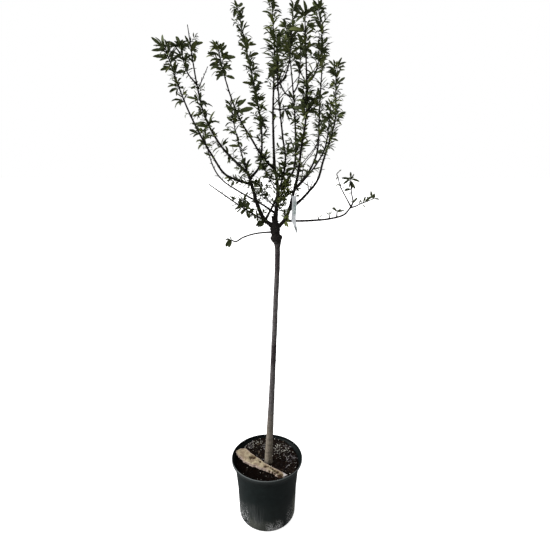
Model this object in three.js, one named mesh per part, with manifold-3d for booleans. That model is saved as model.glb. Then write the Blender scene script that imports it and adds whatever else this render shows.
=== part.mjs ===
// A grafted almond tree in a black nursery pot: a bare trunk with a graft knob, three
// main limbs, long upright shoots that carry the leaves, a blank tag and a strip of wood
// wedged across the pot.
//
// Millimetres. X runs to the right, Y away from the viewer, Z up.
// The origin is the centre of the pot's flat underside.

import * as THREE from "three";
import { mergeVertices } from "three/addons/utils/BufferGeometryUtils.js";
import Module from "manifold-3d";

const wasm = await Module();
wasm.setup();

// Fits
const CLEAR = 0.3; // gap between two solids that touch in the real thing
const WELD = 1e-3; // vertices closer than this are one
const POT_CLEAR = 0.4; // gap to the pot's faceted wall
const CUT_CLEAR = 0.35; // gap cut round a limb for its neighbours
const LINE_STEP = 12; // spacing of the points that stand for a limb's centre line
const ROOT_STEP = 3; // the same where a limb looks for its root

// Pot
const RIM_HEIGHT = 287;
const RIM_RADIUS = 150;
const LIP_HEIGHT = 10; // the upright band at the top of the flared lip
const FLARE_HEIGHT = 19; // the flare between the body and that band
const SHOULDER_RADIUS = 138;
const NECK_INSET = 3.5; // the wall narrows by this over the drop below the shoulder
const NECK_DROP = 14;
const WAIST_RADIUS = 126;
const WAIST_HEIGHT = 150;
const FOOT_RADIUS = 121;
const FOOT_ROUND = 22; // rounding between wall and floor
const FOOT_STEPS = 3; // facets of that rounding
const FLARE_TOP = RIM_HEIGHT - LIP_HEIGHT;
const FLARE_FOOT = FLARE_TOP - FLARE_HEIGHT;
const FLARE_INSET = 3; // the flare's last bend lies this far in and down
const FLARE_DROP = 4;
const WALL = 3;
const FLOOR = 4;
const POT_SIDES = 32;
const DRAIN_HOLES = 6;
const DRAIN_SIDES = 8;
const DRAIN_RADIUS = 9;
const DRAIN_CIRCLE = 78;

// Soil
const SOIL_LEVEL = 262; // at the trunk
const SOIL_SLOPE = 0.05; // rise towards the back
const SOIL_ROUGHNESS = 1.8; // height of its lumps
const SOIL_FLAT = 26; // the level patch round the trunk's foot
const SOIL_SINK = 4; // how much lower it lies along the wall
const SOIL_RINGS = [0, 14, 44, 74]; // places of its rings, inwards from the wall

// Strip of wood across the pot
const STRIP_UNDERSIDE = 267;
const STRIP_THICKNESS = 12;

// Trunk: centre line, then radius by height
const TRUNK_FOOT = [5, -4, SOIL_LEVEL - 8];
const TRUNK_WAY = [
  [15, 4, 454], [27, 11, 729], [37, 14, 985], [43, 14, 1137], [43, 14, 1190], [38.5, 14, 1231],
];
const TRUNK_HEAD = [35, 14, 1286];
const TRUNK_GIRTH = [
  [254, 17.5], [275, 16.4], [335, 15.2], [410, 14.1], [520, 12.2], [690, 10.7], [850, 9.9],
  [1000, 9.6], [1150, 9.8], [1196, 10.4], [1208, 12.2], [1219, 16.5], [1232, 19.6],
  [1246, 18.6], [1256, 16.2], [1268, 15.8], [1279, 14.8], [1286, 12.5],
];
const TRUNK_SIDES = 12;
const STUB_FOOT = [31, 13, 1268]; // the pruned leader between the limbs
const STUB_TIP = [25, 11, 1311];
const STUB_RADIUS = 5.2;
const STUB_SIDES = 6;

// Tag
const TAG_WIDTH = 14;
const TAG_THICKNESS = 0.8;
const TAG_LENGTH = 82;
const TAG_TAIL_WIDTH = 5;
const TAG_TAIL_LENGTH = 58;
const TAG_SLACK = 0.9; // room between the loop and the limb
const TAG_STRAP = 8; // height of that loop
const TAG_HEIGHT = 1380; // height up the right limb where its loop sits
const TAG_SHIFT = 1; // how far the blade hangs to the right of the loop's middle
const TAG_DRIFT = 8; // how far its tail swings on to the right
const TAG_SIDES = 16;

// Twigs and leaves
const LEAF_LENGTH = 47;
const LEAF_WIDTH = 13;
const LEAF_THICKNESS = 1.4;
const LEAF_SINK = 1.2; // how far a leaf's root lies behind the middle of its twig
const TURN = 2.4; // angle from one leaf to the next round a twig, radians
const TURN_SPREAD = 0.5;
const RISE = [0.3, 0.6]; // least lean of a leaf towards its twig's tip, and how much more
const TIP_RISE = [0.7, 0.4]; // the same for the leaves at a tip
const SIZE = [0.7, 0.5]; // least length of a leaf as a share of LEAF_LENGTH, and how much more
const TIP_LEAVES = 3;
const TIP_BACK = 3; // how far behind the tip its leaves stand
const OWN_SPACE = 4; // how much nearer a leaf keeps to its own stem than to another
const LIMB_SPACE = 1.5; // how far a leaf keeps from a limb
const LEAF_ROLL = 1.3; // most that a blade is rolled from level, radians
const STATION = 48; // spacing of the rings along a limb

// The limbs. Each springs from the nearest point of the limb named in "from" and passes
// through "way". "radius" is at its foot and at its tip. The wood is bare up to the
// fraction "bare" of its length; beyond it comes its mass of leaves. A row of "tufts"
// is a leafy stretch: its start and end, as fractions, and the gap from leaf to leaf.
// "sown" starts a limb's random numbers elsewhere.
const LIMBS = [
  { name: "left_limb", from: "trunk", radius: [7.5, 4.6],
    way: [[25, 12, 1269], [-4, 8, 1298], [-29, 2, 1352], [-46, -4, 1413], [-61, -8, 1464]] },
  { name: "centre_limb", from: "trunk", radius: [8, 4.2],
    way: [[38, 15, 1270], [38, 20, 1325], [44, 24, 1386], [42, 28, 1432], [32, 32, 1485]] },
  { name: "right_limb", from: "trunk", radius: [7, 4.2],
    way: [[46, 14, 1264], [68, 14, 1294], [87, 14, 1336], [97, 15, 1377], [106, 16, 1413]] },
  { name: "arm", from: "right_limb", radius: [3.4, 2],
    way: [[68, 14, 1294], [114, 24, 1291], [173, 10, 1295], [237, -5, 1304], [283, -20, 1321],
      [304, -28, 1349]] },
  { name: "whip", from: "trunk", radius: [1.9, 1.3], bare: 0.93, tufts: [[0.94, 1, 5]],
    way: [[38, 13, 1252], [-36, -5, 1249], [-83, -20, 1237], [-108, -30, 1224], [-125, -40, 1232]] },
  { name: "left_bare", from: "left_limb", radius: [3.2, 1.2], bare: 0.2, tufts: [[0.26, 0.48, 10]],
    way: [[1, 8, 1291], [-43, -4, 1319], [-84, -16, 1346], [-195, -50, 1429]] },
  { name: "left_low", from: "centre_limb", radius: [3.2, 1.2], bare: 0.62, tufts: [[0.78, 1, 14]],
    way: [[38, 20, 1319], [-26, 30, 1359], [-97, 45, 1396], [-160, 60, 1437], [-192, 75, 1479],
      [-232, 105, 1605]] },
  { name: "left_outer", from: "left_limb", radius: [3.8, 1.3], bare: 0.28,
    tufts: [[0.3, 0.44, 20], [0.44, 0.62, 28], [0.69, 0.78, 20], [0.78, 1, 12]],
    way: [[-50, -5, 1426], [-105, -15, 1443], [-143, -25, 1464], [-179, -35, 1520],
      [-224, -50, 1605], [-261, -65, 1694], [-309, -85, 1848]] },
  { name: "left_main", from: "left_limb", radius: [4.2, 1.1], bare: 0,
    tufts: [[0.12, 0.36, 22], [0.37, 0.56, 13], [0.6, 0.64, 16], [0.77, 0.91, 12]],
    way: [[-61, -8, 1464], [-119, 15, 1516], [-161, 35, 1561], [-216, 65, 1658],
      [-244, 90, 1767], [-275, 130, 1970]] },
  { name: "left_inner", from: "left_limb", radius: [2.4, 1.1], bare: 0, sown: 2,
    tufts: [[0.1, 0.2, 16], [0.35, 0.76, 20], [0.76, 1, 11]],
    way: [[-58, -7, 1454], [-75, -30, 1510], [-99, -85, 1620], [-105, -110, 1682]] },
  { name: "mid_left", from: "centre_limb", radius: [3.6, 1.2], bare: 0,
    tufts: [[0.07, 0.17, 11], [0.37, 0.46, 22], [0.49, 0.66, 13], [0.76, 1, 11]],
    way: [[33, 32, 1474], [-8, -10, 1518], [-42, -60, 1574], [-82, -110, 1644],
      [-114, -150, 1738], [-131, -185, 1822]] },
  { name: "mid_left_tall", from: "left_limb", radius: [3.6, 1.1], bare: 0.18,
    tufts: [[0.24, 0.36, 24], [0.36, 0.6, 16], [0.6, 1, 13]],
    way: [[-55, -6, 1445], [-23, 30, 1485], [-15, 60, 1535], [-16, 100, 1622], [-36, 145, 1741],
      [-59, 180, 1846], [-104, 220, 2049]] },
  { name: "centre", from: "centre_limb", radius: [4.1, 1.1], bare: 0.27,
    tufts: [[0.29, 0.36, 24], [0.49, 1, 12]],
    way: [[32, 32, 1485], [29, 40, 1568], [27, 50, 1665], [29, 58, 1753], [32, 66, 1859],
      [24, 75, 2018]] },
  { name: "centre_front", from: "left_limb", radius: [3.6, 1.2], bare: 0.28,
    tufts: [[0.3, 0.46, 14], [0.84, 1, 10]],
    way: [[0, 8, 1297], [27, -15, 1353], [48, -40, 1409], [69, -80, 1504], [58, -115, 1588],
      [41, -175, 1755], [43, -200, 1843]] },
  { name: "centre_right", from: "centre_limb", radius: [4, 1.1], bare: 0.15,
    tufts: [[0.17, 0.33, 15], [0.43, 0.59, 15], [0.78, 1, 10]],
    way: [[43, 26, 1409], [78, 50, 1438], [103, 75, 1473], [111, 100, 1527], [110, 140, 1636],
      [102, 180, 1763], [79, 235, 1986]] },
  { name: "right_inner", from: "right_limb", radius: [4.1, 1.2], bare: 0.22,
    tufts: [[0.25, 0.48, 15], [0.5, 0.68, 10], [0.79, 1, 12]],
    way: [[106, 16, 1413], [114, 2, 1452], [123, -30, 1536], [137, -90, 1672], [133, -115, 1740],
      [121, -160, 1916]] },
  { name: "right_tall", from: "right_limb", radius: [3.6, 1.1], bare: 0.33,
    tufts: [[0.35, 0.52, 15], [0.55, 0.66, 18], [0.66, 1, 12]],
    way: [[105, 16, 1407], [130, 45, 1432], [167, 75, 1480], [191, 100, 1538], [200, 140, 1706],
      [207, 165, 1913], [192, 175, 2029]] },
  { name: "right_second", from: "centre_limb", radius: [3.2, 1.2], bare: 0.56,
    tufts: [[0.6, 1, 13]],
    way: [[43, 23, 1366], [88, 0, 1394], [127, -25, 1432], [197, -75, 1540], [210, -120, 1678]] },
  { name: "right_outer", from: "right_limb", radius: [4.4, 1.2], bare: 0.47,
    tufts: [[0.49, 1, 11]],
    way: [[86, 14, 1334], [115, 20, 1356], [155, 28, 1395], [189, 34, 1439], [206, 38, 1499],
      [247, 48, 1646], [247, 55, 1739], [245, 60, 1816]] },
  { name: "arm_inner", from: "arm", radius: [1.8, 1.1], bare: 0, tufts: [[0.4, 0.8, 16]],
    way: [[304, -28, 1349], [273, -45, 1404], [246, -58, 1462], [257, -60, 1479]] },
  { name: "arm_upper", from: "arm", radius: [1.8, 1.1], bare: 0, tufts: [[0.3, 1, 14]],
    way: [[303, -28, 1346], [309, -14, 1378], [306, -8, 1421], [299, -4, 1462]] },
  { name: "arm_outer", from: "arm", radius: [1.8, 1.1], bare: 0, tufts: [[0.4, 1, 13]],
    way: [[298, -26, 1338], [330, -26, 1348], [387, -18, 1379]] },
  { name: "arm_sprig_1", from: "arm", radius: [1.4, 1.1], bare: 0, tufts: [[0.9, 1, 6]],
    way: [[196, 5, 1298], [202, 0, 1316]] },
  { name: "arm_sprig_2", from: "arm", radius: [1.4, 1.1], bare: 0, tufts: [[0.7, 1, 6]],
    way: [[238, -5, 1304], [240, -10, 1330]] },
  { name: "arm_sprig_3", from: "arm", radius: [1.4, 1.1], bare: 0, tufts: [[0.7, 1, 6]],
    way: [[266, -15, 1313], [270, -8, 1342]] },
  { name: "left_base_spray", from: "left_limb", radius: [1.7, 1.2], bare: 0,
    tufts: [[0.5, 1, 7]], way: [[-3, 8, 1297], [-16, -10, 1292], [-26, -20, 1288]] },
  { name: "right_base_spray", from: "right_limb", radius: [1.7, 1.2], bare: 0,
    tufts: [[0.5, 1, 7]], way: [[64, 14, 1288], [69, -8, 1303], [66, -24, 1325]] },
  { name: "centre_spray", from: "centre_limb", radius: [1.8, 1.2], bare: 0,
    tufts: [[0.4, 1, 8]], way: [[43, 24, 1380], [56, 4, 1402], [68, -14, 1426]] },
  { name: "inner_twig", from: "centre_limb", radius: [1.8, 1.1], bare: 0,
    tufts: [[0.35, 1, 14]], way: [[43, 27, 1419], [13, 5, 1446], [-3, -15, 1479]] },
  { name: "low_twig", from: "centre_limb", radius: [1.7, 1.1], bare: 0,
    tufts: [[0.4, 1, 15]], way: [[39, 21, 1338], [10, 42, 1366], [-28, 62, 1424]] },
];

// Side branches within a mass, fused to its stem
const FORKS = [
  { host: "left_main", radius: [2.4, 1.1], tufts: [[0.3, 1, 12]],
    way: [[-244, 90, 1767], [-275, 80, 1808], [-291, 65, 1881]] },
  { host: "left_main", radius: [1.4, 1], tufts: [],
    way: [[-241, 88, 1750], [-206, 110, 1831]] },
  { host: "centre", radius: [2.6, 1.1], tufts: [[0.42, 1, 12]],
    way: [[29, 58, 1753], [64, 80, 1786], [84, 105, 1845], [98, 150, 2022]] },
  { host: "centre", radius: [2, 1.1], tufts: [[0.25, 1, 13]],
    way: [[28, 52, 1684], [56, 40, 1681], [86, 30, 1684], [124, 20, 1693]] },
  { host: "centre_right", radius: [2, 1.1], tufts: [[0.6, 1, 12]],
    way: [[103, 172, 1732], [69, 165, 1755], [41, 150, 1827]] },
  { host: "centre_right", radius: [2.4, 1.1], tufts: [[0.46, 1, 13]],
    way: [[103, 178, 1751], [119, 190, 1780], [132, 215, 1907]] },
  { host: "right_inner", radius: [2, 1.1], tufts: [[0.3, 1, 12]],
    way: [[133, -115, 1740], [155, -120, 1762], [174, -128, 1827]] },
];

const COLOURS = {
  pot: ["#1d2224", 0.55],
  soil: ["#1b1410", 1],
  wood_slab: ["#b79f7c", 0.9],
  label: ["#cfdce4", 0.35],
  trunk: ["#5b5048", 0.9],
  limb: ["#33291f", 0.85],
  leaves: ["#2f4018", 0.6],
};

// Solids and meshes

// A closed geometry as a solid, its shared vertices merged and its faces turned outwards.
function solid(geometry) {
  geometry.deleteAttribute("normal");
  geometry.deleteAttribute("uv");
  const welded = mergeVertices(geometry, WELD);
  const index = welded.index.array;
  const position = welded.attributes.position;
  const corners = [];
  let volume = 0;
  for (let i = 0; i < index.length; i += 3) {
    const [a, b, c] = [index[i], index[i + 1], index[i + 2]];
    if (a === b || b === c || c === a) continue;
    corners.push(a, b, c);
    const [p, q, r] = [a, b, c].map((k) => new THREE.Vector3().fromBufferAttribute(position, k));
    volume += p.dot(q.cross(r));
  }
  if (volume < 0) corners.reverse();
  return new wasm.Manifold(new wasm.Mesh({
    numProp: 3,
    vertProperties: new Float32Array(position.array),
    triVerts: new Uint32Array(corners),
  }));
}

// The largest body of a solid: scraps left by a cut and sealed hollows go.
function mainBody(shape) {
  const bodies = shape.decompose();
  return bodies.reduce((best, body) => (body.volume() > best.volume() ? body : best));
}

function meshOf(name, shape, [colour, roughness]) {
  const { vertProperties, triVerts } = shape.getMesh();
  const geometry = new THREE.BufferGeometry();
  geometry.setAttribute("position", new THREE.BufferAttribute(vertProperties, 3));
  geometry.setIndex(new THREE.BufferAttribute(triVerts, 1));
  const material = new THREE.MeshStandardMaterial({ color: colour, roughness, metalness: 0 });
  const mesh = new THREE.Mesh(geometry, material);
  mesh.name = name;
  return mesh;
}

// Random numbers from 0 to 1 that are the same each time for one name.
function seeded(name) {
  let state = [...name].reduce((sum, letter) => (sum * 31 + letter.charCodeAt(0)) >>> 0, 7);
  return () => {
    state = (state + 0x6d2b79f5) >>> 0;
    let mixed = Math.imul(state ^ (state >>> 15), state | 1);
    mixed ^= mixed + Math.imul(mixed ^ (mixed >>> 7), mixed | 61);
    return ((mixed ^ (mixed >>> 14)) >>> 0) / 4294967296;
  };
}

// A value read between the rows of a table of [place, value].
function between(rows, place) {
  const last = rows.length - 1;
  if (place <= rows[0][0]) return rows[0][1];
  if (place >= rows[last][0]) return rows[last][1];
  const next = rows.findIndex((row) => row[0] > place);
  const [[a, low], [b, high]] = [rows[next - 1], rows[next]];
  return low + ((high - low) * (place - a)) / (b - a);
}

// A round section turned about a straight axis and then carried along a curve. "stops"
// are fractions of the curve's length, "radiusAt" gives the radius at each, and "ahead"
// and "behind" lengthen the two ends.
function bentTube(curve, stops, radiusAt, sides, ahead = 0, behind = 0) {
  const radii = stops.map(radiusAt);
  const last = stops.length - 1;
  const profile = [new THREE.Vector2(0, 0)];
  radii.forEach((radius, i) => profile.push(new THREE.Vector2(radius, i)));
  profile.push(new THREE.Vector2(0, last));
  const tube = new THREE.LatheGeometry(profile, sides);
  let side = new THREE.Vector3(1, 0, 0);
  const rings = stops.map((stop, i) => {
    const along = curve.getTangentAt(stop);
    side = side.clone().addScaledVector(along, -side.dot(along)).normalize();
    const centre = curve.getPointAt(stop);
    if (i === 0) centre.addScaledVector(along, -behind);
    if (i === last) centre.addScaledVector(along, ahead);
    return { centre, side, front: along.clone().cross(side) };
  });
  const position = tube.attributes.position;
  for (let k = 0; k < position.count; k += 1) {
    const ring = rings[Math.round(position.getY(k))];
    const spot = ring.centre.clone();
    spot.addScaledVector(ring.side, position.getX(k)).addScaledVector(ring.front, position.getZ(k));
    position.setXYZ(k, spot.x, spot.y, spot.z);
  }
  return solid(tube);
}

// A straight tapering twig between two points.
function peg(foot, tip, footRadius, tipRadius, sides) {
  const axis = tip.clone().sub(foot);
  const twig = new THREE.CylinderGeometry(tipRadius, footRadius, axis.length(), sides);
  const up = new THREE.Vector3(0, 1, 0);
  twig.applyQuaternion(new THREE.Quaternion().setFromUnitVectors(up, axis.clone().normalize()));
  twig.translate((foot.x + tip.x) / 2, (foot.y + tip.y) / 2, (foot.z + tip.z) / 2);
  return solid(twig);
}

function block(sizeX, sizeY, sizeZ, x, y, z) {
  return solid(new THREE.BoxGeometry(sizeX, sizeY, sizeZ).translate(x, y, z));
}

// A lathe profile of [radius, height] rows turned about the upright axis.
function turned(rows, sides = POT_SIDES) {
  const profile = rows.map(([radius, height]) => new THREE.Vector2(radius, height));
  return new THREE.LatheGeometry(profile, sides).rotateX(Math.PI / 2);
}

// Pot, soil and strip of wood

// The pot's outer outline from the floor's edge up to the rim.
function potOutside() {
  const rows = [];
  for (let step = 0; step <= FOOT_STEPS; step += 1) {
    const angle = (step / FOOT_STEPS) * (Math.PI / 2);
    const radius = FOOT_RADIUS - FOOT_ROUND * (1 - Math.sin(angle));
    rows.push([radius, FOOT_ROUND * (1 - Math.cos(angle))]);
  }
  rows.push([WAIST_RADIUS, WAIST_HEIGHT]);
  rows.push([SHOULDER_RADIUS - NECK_INSET, FLARE_FOOT - NECK_DROP]);
  rows.push([SHOULDER_RADIUS, FLARE_FOOT]);
  rows.push([RIM_RADIUS - FLARE_INSET, FLARE_TOP - FLARE_DROP]);
  rows.push([RIM_RADIUS, FLARE_TOP]);
  rows.push([RIM_RADIUS, RIM_HEIGHT]);
  return rows;
}

// Its inner outline, with "gap" between it and what fills the pot. Under the soil the
// wall is plain.
function potInside(gap) {
  const inset = WALL + gap;
  return [
    [FOOT_RADIUS - FOOT_ROUND, FLOOR + gap],
    [FOOT_RADIUS - inset, FLOOR + FOOT_ROUND],
    [WAIST_RADIUS - inset, WAIST_HEIGHT],
    [SHOULDER_RADIUS - NECK_INSET - inset, FLARE_FOOT - NECK_DROP],
    [SHOULDER_RADIUS - inset, FLARE_FOOT],
    [RIM_RADIUS - FLARE_INSET - inset, FLARE_TOP - FLARE_DROP],
    [RIM_RADIUS - inset, FLARE_TOP],
    [RIM_RADIUS - inset, RIM_HEIGHT],
  ];
}

function pot() {
  const profile = [[0, 0], ...potOutside(), ...potInside(0).reverse(), [0, FLOOR]];
  let shape = solid(turned(profile));
  for (let k = 0; k < DRAIN_HOLES; k += 1) {
    const angle = ((k + 0.5) / DRAIN_HOLES) * 2 * Math.PI;
    const hole = new THREE.CylinderGeometry(DRAIN_RADIUS, DRAIN_RADIUS, 3 * FLOOR, DRAIN_SIDES);
    hole.rotateX(Math.PI / 2);
    hole.translate(DRAIN_CIRCLE * Math.cos(angle), DRAIN_CIRCLE * Math.sin(angle), FLOOR / 2);
    shape = shape.subtract(solid(hole));
  }
  return shape;
}

function soil() {
  const wall = potInside(POT_CLEAR);
  const lowest = SOIL_LEVEL - SOIL_SINK - SOIL_SLOPE * RIM_RADIUS;
  const below = wall.filter(([, height]) => height < lowest - 5);
  const edge = between(wall.map(([radius, height]) => [height, radius]), lowest - 3);
  const top = SOIL_RINGS.map((inwards) => [edge - inwards, SOIL_LEVEL]);
  const middle = [[SOIL_FLAT - 6, SOIL_LEVEL], [0, SOIL_LEVEL]];
  const geometry = turned([[0, FLOOR + CLEAR], ...below, ...top, ...middle]);
  const position = geometry.attributes.position;
  for (let k = 0; k < position.count; k += 1) {
    const [x, y, z] = [position.getX(k), position.getY(k), position.getZ(k)];
    const [ahead, beside] = [y - TRUNK_FOOT[1], x - TRUNK_FOOT[0]];
    const fromTrunk = Math.hypot(ahead, beside);
    if (z < SOIL_LEVEL - 1 || fromTrunk < SOIL_FLAT) continue;
    const fade = Math.min(1, (fromTrunk - SOIL_FLAT) / 20);
    const lumps = Math.sin(x / 9 + 1) * Math.cos(y / 11) + 0.6 * Math.sin((x + y) / 6);
    const sink = SOIL_SINK * Math.hypot(x, y) ** 2 / edge ** 2;
    position.setZ(k, z + fade * (SOIL_SLOPE * ahead + SOIL_ROUGHNESS * 0.6 * lumps - sink));
  }
  return solid(geometry);
}

// A split strip of pale wood that bridges the pot just under the rim and rests on the
// flare at both ends. Its front edge is torn.
function woodStrip() {
  const outline = new THREE.Shape();
  const sawn = [[-148, 44], [-119, 60], [-95, 62], [-71, 32], [-36, -1], [-12, -27], [17, -52],
    [54, -78], [88, -103]];
  const torn = [[72, -112], [50, -111], [38, -99], [26, -87], [8, -79], [-10, -67], [-29, -61],
    [-47, -47], [-67, -41], [-83, -27], [-98, -20], [-109, 0], [-124, 15], [-134, 32]];
  outline.moveTo(...sawn[0]);
  [...sawn.slice(1), ...torn].forEach(([x, y]) => outline.lineTo(x, y));
  outline.closePath();
  const sheet = new THREE.ExtrudeGeometry(outline, { depth: STRIP_THICKNESS, bevelEnabled: false });
  sheet.translate(0, 0, STRIP_UNDERSIDE);
  const inside = [[0, FLOOR], ...potInside(POT_CLEAR), [0, RIM_HEIGHT]];
  return mainBody(solid(sheet).intersect(solid(turned(inside))));
}

// Limbs

// A limb's centre line and everything that is worked out from it.
function limbAlong(entry, points) {
  const curve = new THREE.CatmullRomCurve3(points);
  const length = curve.getLength();
  const [foot, tip] = entry.radius;
  const radiusAt = (part) => tip + (foot - tip) * (1 - part) ** 0.8 + 0.25 * foot * (1 - part) ** 12;
  const line = curve.getSpacedPoints(Math.max(4, Math.round(length / LINE_STEP)));
  return { ...entry, curve, length, radiusAt, line };
}

const vectors = (rows) => rows.map((row) => new THREE.Vector3(...row));

const trunk = {
  name: "trunk",
  curve: new THREE.CatmullRomCurve3(vectors([TRUNK_FOOT, ...TRUNK_WAY, TRUNK_HEAD])),
};
trunk.line = trunk.curve.getSpacedPoints(100);
trunk.length = trunk.curve.getLength();
trunk.radiusAt = (part) => between(TRUNK_GIRTH, trunk.curve.getPointAt(part).z);

function nearestOn(line, point) {
  return line.reduce((best, p) => (p.distanceTo(point) < best.distanceTo(point) ? p : best));
}

// Puts the first point of a limb's way on the centre line that it springs from.
function rooted(entry, host) {
  const [first, ...rest] = vectors(entry.way);
  const fine = host.curve.getSpacedPoints(Math.round(host.length / ROOT_STEP));
  return limbAlong(entry, [nearestOn(fine, first).clone(), ...rest]);
}

const limbs = new Map([["trunk", trunk]]);
for (const entry of LIMBS) {
  limbs.set(entry.name, rooted({ bare: 1, tufts: [], ...entry }, limbs.get(entry.from)));
}
const grown = [...limbs.values()].filter((limb) => limb !== trunk);
for (const limb of grown) {
  limb.forks = FORKS.filter((fork) => fork.host === limb.name).map((fork) => rooted(fork, limb));
}

// Fractions of a limb's length between two, about one station apart.
function stopsOf(limb, from, to) {
  const count = Math.max(2, Math.round(((to - from) * limb.length) / STATION));
  const stopAt = (_, i) => Math.min(1, from + ((to - from) * i) / count);
  return Array.from({ length: count + 1 }, stopAt);
}

function sidesOf(radius) {
  if (radius > 6) return 8;
  return radius > 3 ? 5 : 3;
}

// A stretch of a limb, or with "swell" the same stretch made fatter all round, which cuts
// its neighbours back to the proper gap.
function stretch(limb, from, to, swell = 0) {
  const sides = sidesOf(limb.radiusAt(from));
  const fatter = swell / Math.cos(Math.PI / sides);
  const radiusAt = (part) => limb.radiusAt(part) + fatter;
  return bentTube(limb.curve, stopsOf(limb, from, to), radiusAt, sides, swell, swell);
}

function trunkSolid(swell = 0) {
  const heights = TRUNK_GIRTH.map(([height]) => height);
  const [low, high] = [heights[0], heights[heights.length - 1]];
  const stops = heights.map((height) => (height - low) / (high - low));
  const fatter = swell / Math.cos(Math.PI / TRUNK_SIDES);
  const radiusAt = (part) => between(TRUNK_GIRTH, low + part * (high - low)) + fatter;
  const [foot, tip] = vectors([STUB_FOOT, STUB_TIP]);
  const stubRadius = STUB_RADIUS + swell / Math.cos(Math.PI / STUB_SIDES);
  tip.addScaledVector(tip.clone().sub(foot).normalize(), swell);
  const stub = peg(foot, tip, stubRadius, stubRadius, STUB_SIDES);
  const stem = bentTube(trunk.curve, stops, radiusAt, TRUNK_SIDES, swell, swell).add(stub);
  const [x, y] = TRUNK_FOOT;
  const depth = 60;
  const ground = block(100, 100, depth, x, y, SOIL_LEVEL + CLEAR - depth / 2);
  return stem.subtract(ground);
}

function boxesMeet(a, b) {
  return [0, 1, 2].every((axis) => a.min[axis] < b.max[axis] && b.min[axis] < a.max[axis]);
}

// Cuts a solid clear of every fattened neighbour that reaches it.
function cutClear(shape, cutters) {
  const box = shape.boundingBox();
  const near = cutters.filter((cutter) => boxesMeet(box, cutter.boundingBox()));
  return mainBody(near.reduce((left, cutter) => left.subtract(cutter), shape));
}

// Masses of leaves

function gapToLine(point, line) {
  const segment = new THREE.Line3();
  const foot = new THREE.Vector3();
  let best = Infinity;
  for (let i = 0; i + 1 < line.length; i += 1) {
    segment.set(line[i], line[i + 1]).closestPointToPoint(point, true, foot);
    best = Math.min(best, foot.distanceTo(point));
  }
  return best;
}

// Centre lines of all wood: what is bare keeps its distance to every leaf, what carries
// leaves shares out the space.
function sharedOut() {
  const bareWood = [{ line: trunk.line, reach: 20 }];
  const stems = [];
  for (const limb of grown) {
    const split = Math.round(limb.bare * (limb.line.length - 1));
    if (split > 0) bareWood.push({ line: limb.line.slice(0, split + 1), reach: limb.radius[0] });
    if (limb.bare < 1) stems.push({ owner: limb.name, line: limb.line.slice(split) });
    limb.forks.forEach((fork) => stems.push({ owner: limb.name, line: fork.line }));
  }
  return { bareWood, stems };
}

const { bareWood, stems } = sharedOut();
const bounds = new Map();
for (const item of [...bareWood, ...stems]) {
  bounds.set(item, new THREE.Box3().setFromPoints(item.line).expandByScalar(2 * LEAF_LENGTH));
}

function inOwnSpace(owner, points) {
  return points.every((point) => {
    const near = (item) => bounds.get(item).containsPoint(point);
    if (bareWood.some((w) => near(w) && gapToLine(point, w.line) < w.reach + LIMB_SPACE)) return false;
    const own = stems.filter((s) => s.owner === owner).map((s) => gapToLine(point, s.line));
    const others = stems.filter((s) => s.owner !== owner && near(s));
    const mine = Math.min(...own);
    return others.every((s) => gapToLine(point, s.line) > mine + OWN_SPACE);
  });
}

// A flat, pointed leaf of eight faces. Its root lies a little behind "foot".
function leaf(owner, foot, along, across, length, width) {
  const flat = across.clone().addScaledVector(along, -across.dot(along)).normalize();
  const normal = along.clone().cross(flat);
  const root = foot.clone().addScaledVector(along, -LEAF_SINK);
  const middle = root.clone().addScaledVector(along, length / 2);
  const tests = [0.3, 0.55, 0.8, 1].map((part) => root.clone().addScaledVector(along, part * length));
  tests.push(middle.clone().addScaledVector(flat, width / 2));
  tests.push(middle.clone().addScaledVector(flat, -width / 2));
  if (!inOwnSpace(owner, tests)) return [];
  const blade = new THREE.OctahedronGeometry(1);
  const shape = new THREE.Matrix4().makeBasis(
    along.clone().multiplyScalar(length / 2),
    flat.multiplyScalar(width / 2),
    normal.multiplyScalar(LEAF_THICKNESS / 2),
  );
  blade.applyMatrix4(shape.setPosition(middle));
  return [solid(blade)];
}

// The direction at "angle" round a twig, leaning "rise" radians towards its tip.
function outwards(along, angle, rise) {
  const side = new THREE.Vector3(0, 0, 1).cross(along);
  if (side.length() < 0.05) side.set(1, 0, 0);
  side.normalize().applyAxisAngle(along, angle);
  return side.multiplyScalar(Math.cos(rise)).addScaledVector(along, Math.sin(rise));
}

// The leaves of one twig: one at every gap along its leafy stretches, turning round the
// twig, and a few more at its tip.
function leavesOn(owner, twig, random) {
  const parts = [];
  const within = ([least, more]) => least + more * random();
  const blade = (foot, along) => {
    const size = within(SIZE);
    const level = new THREE.Vector3(0, 0, 1).cross(along);
    const flat = level.applyAxisAngle(along, LEAF_ROLL * (2 * random() - 1));
    parts.push(...leaf(owner, foot, along, flat, LEAF_LENGTH * size, LEAF_WIDTH * size));
  };
  let turn = 6 * random();
  for (const [from, to, gap] of twig.tufts) {
    for (let at = from * twig.length; at < to * twig.length; at += gap) {
      const part = at / twig.length;
      turn += TURN + TURN_SPREAD * (random() - 0.5);
      const way = outwards(twig.curve.getTangentAt(part), turn, within(RISE));
      blade(twig.curve.getPointAt(part), way);
    }
  }
  if (twig.tufts.some(([, to]) => to === 1)) {
    for (let k = 0; k < TIP_LEAVES; k += 1) {
      turn += (2 * Math.PI) / TIP_LEAVES;
      const way = outwards(twig.curve.getTangentAt(1), turn, within(TIP_RISE));
      blade(twig.curve.getPointAt(1 - TIP_BACK / twig.length), way);
    }
  }
  return parts;
}

// Everything in its place

const model = new THREE.Group();
model.add(meshOf("pot", pot(), COLOURS.pot));
model.add(meshOf("soil", soil(), COLOURS.soil));
model.add(meshOf("wood_slab", woodStrip(), COLOURS.wood_slab));

model.add(meshOf("trunk", trunkSolid(), COLOURS.trunk));
const cutters = [trunkSolid(CUT_CLEAR)];

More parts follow.
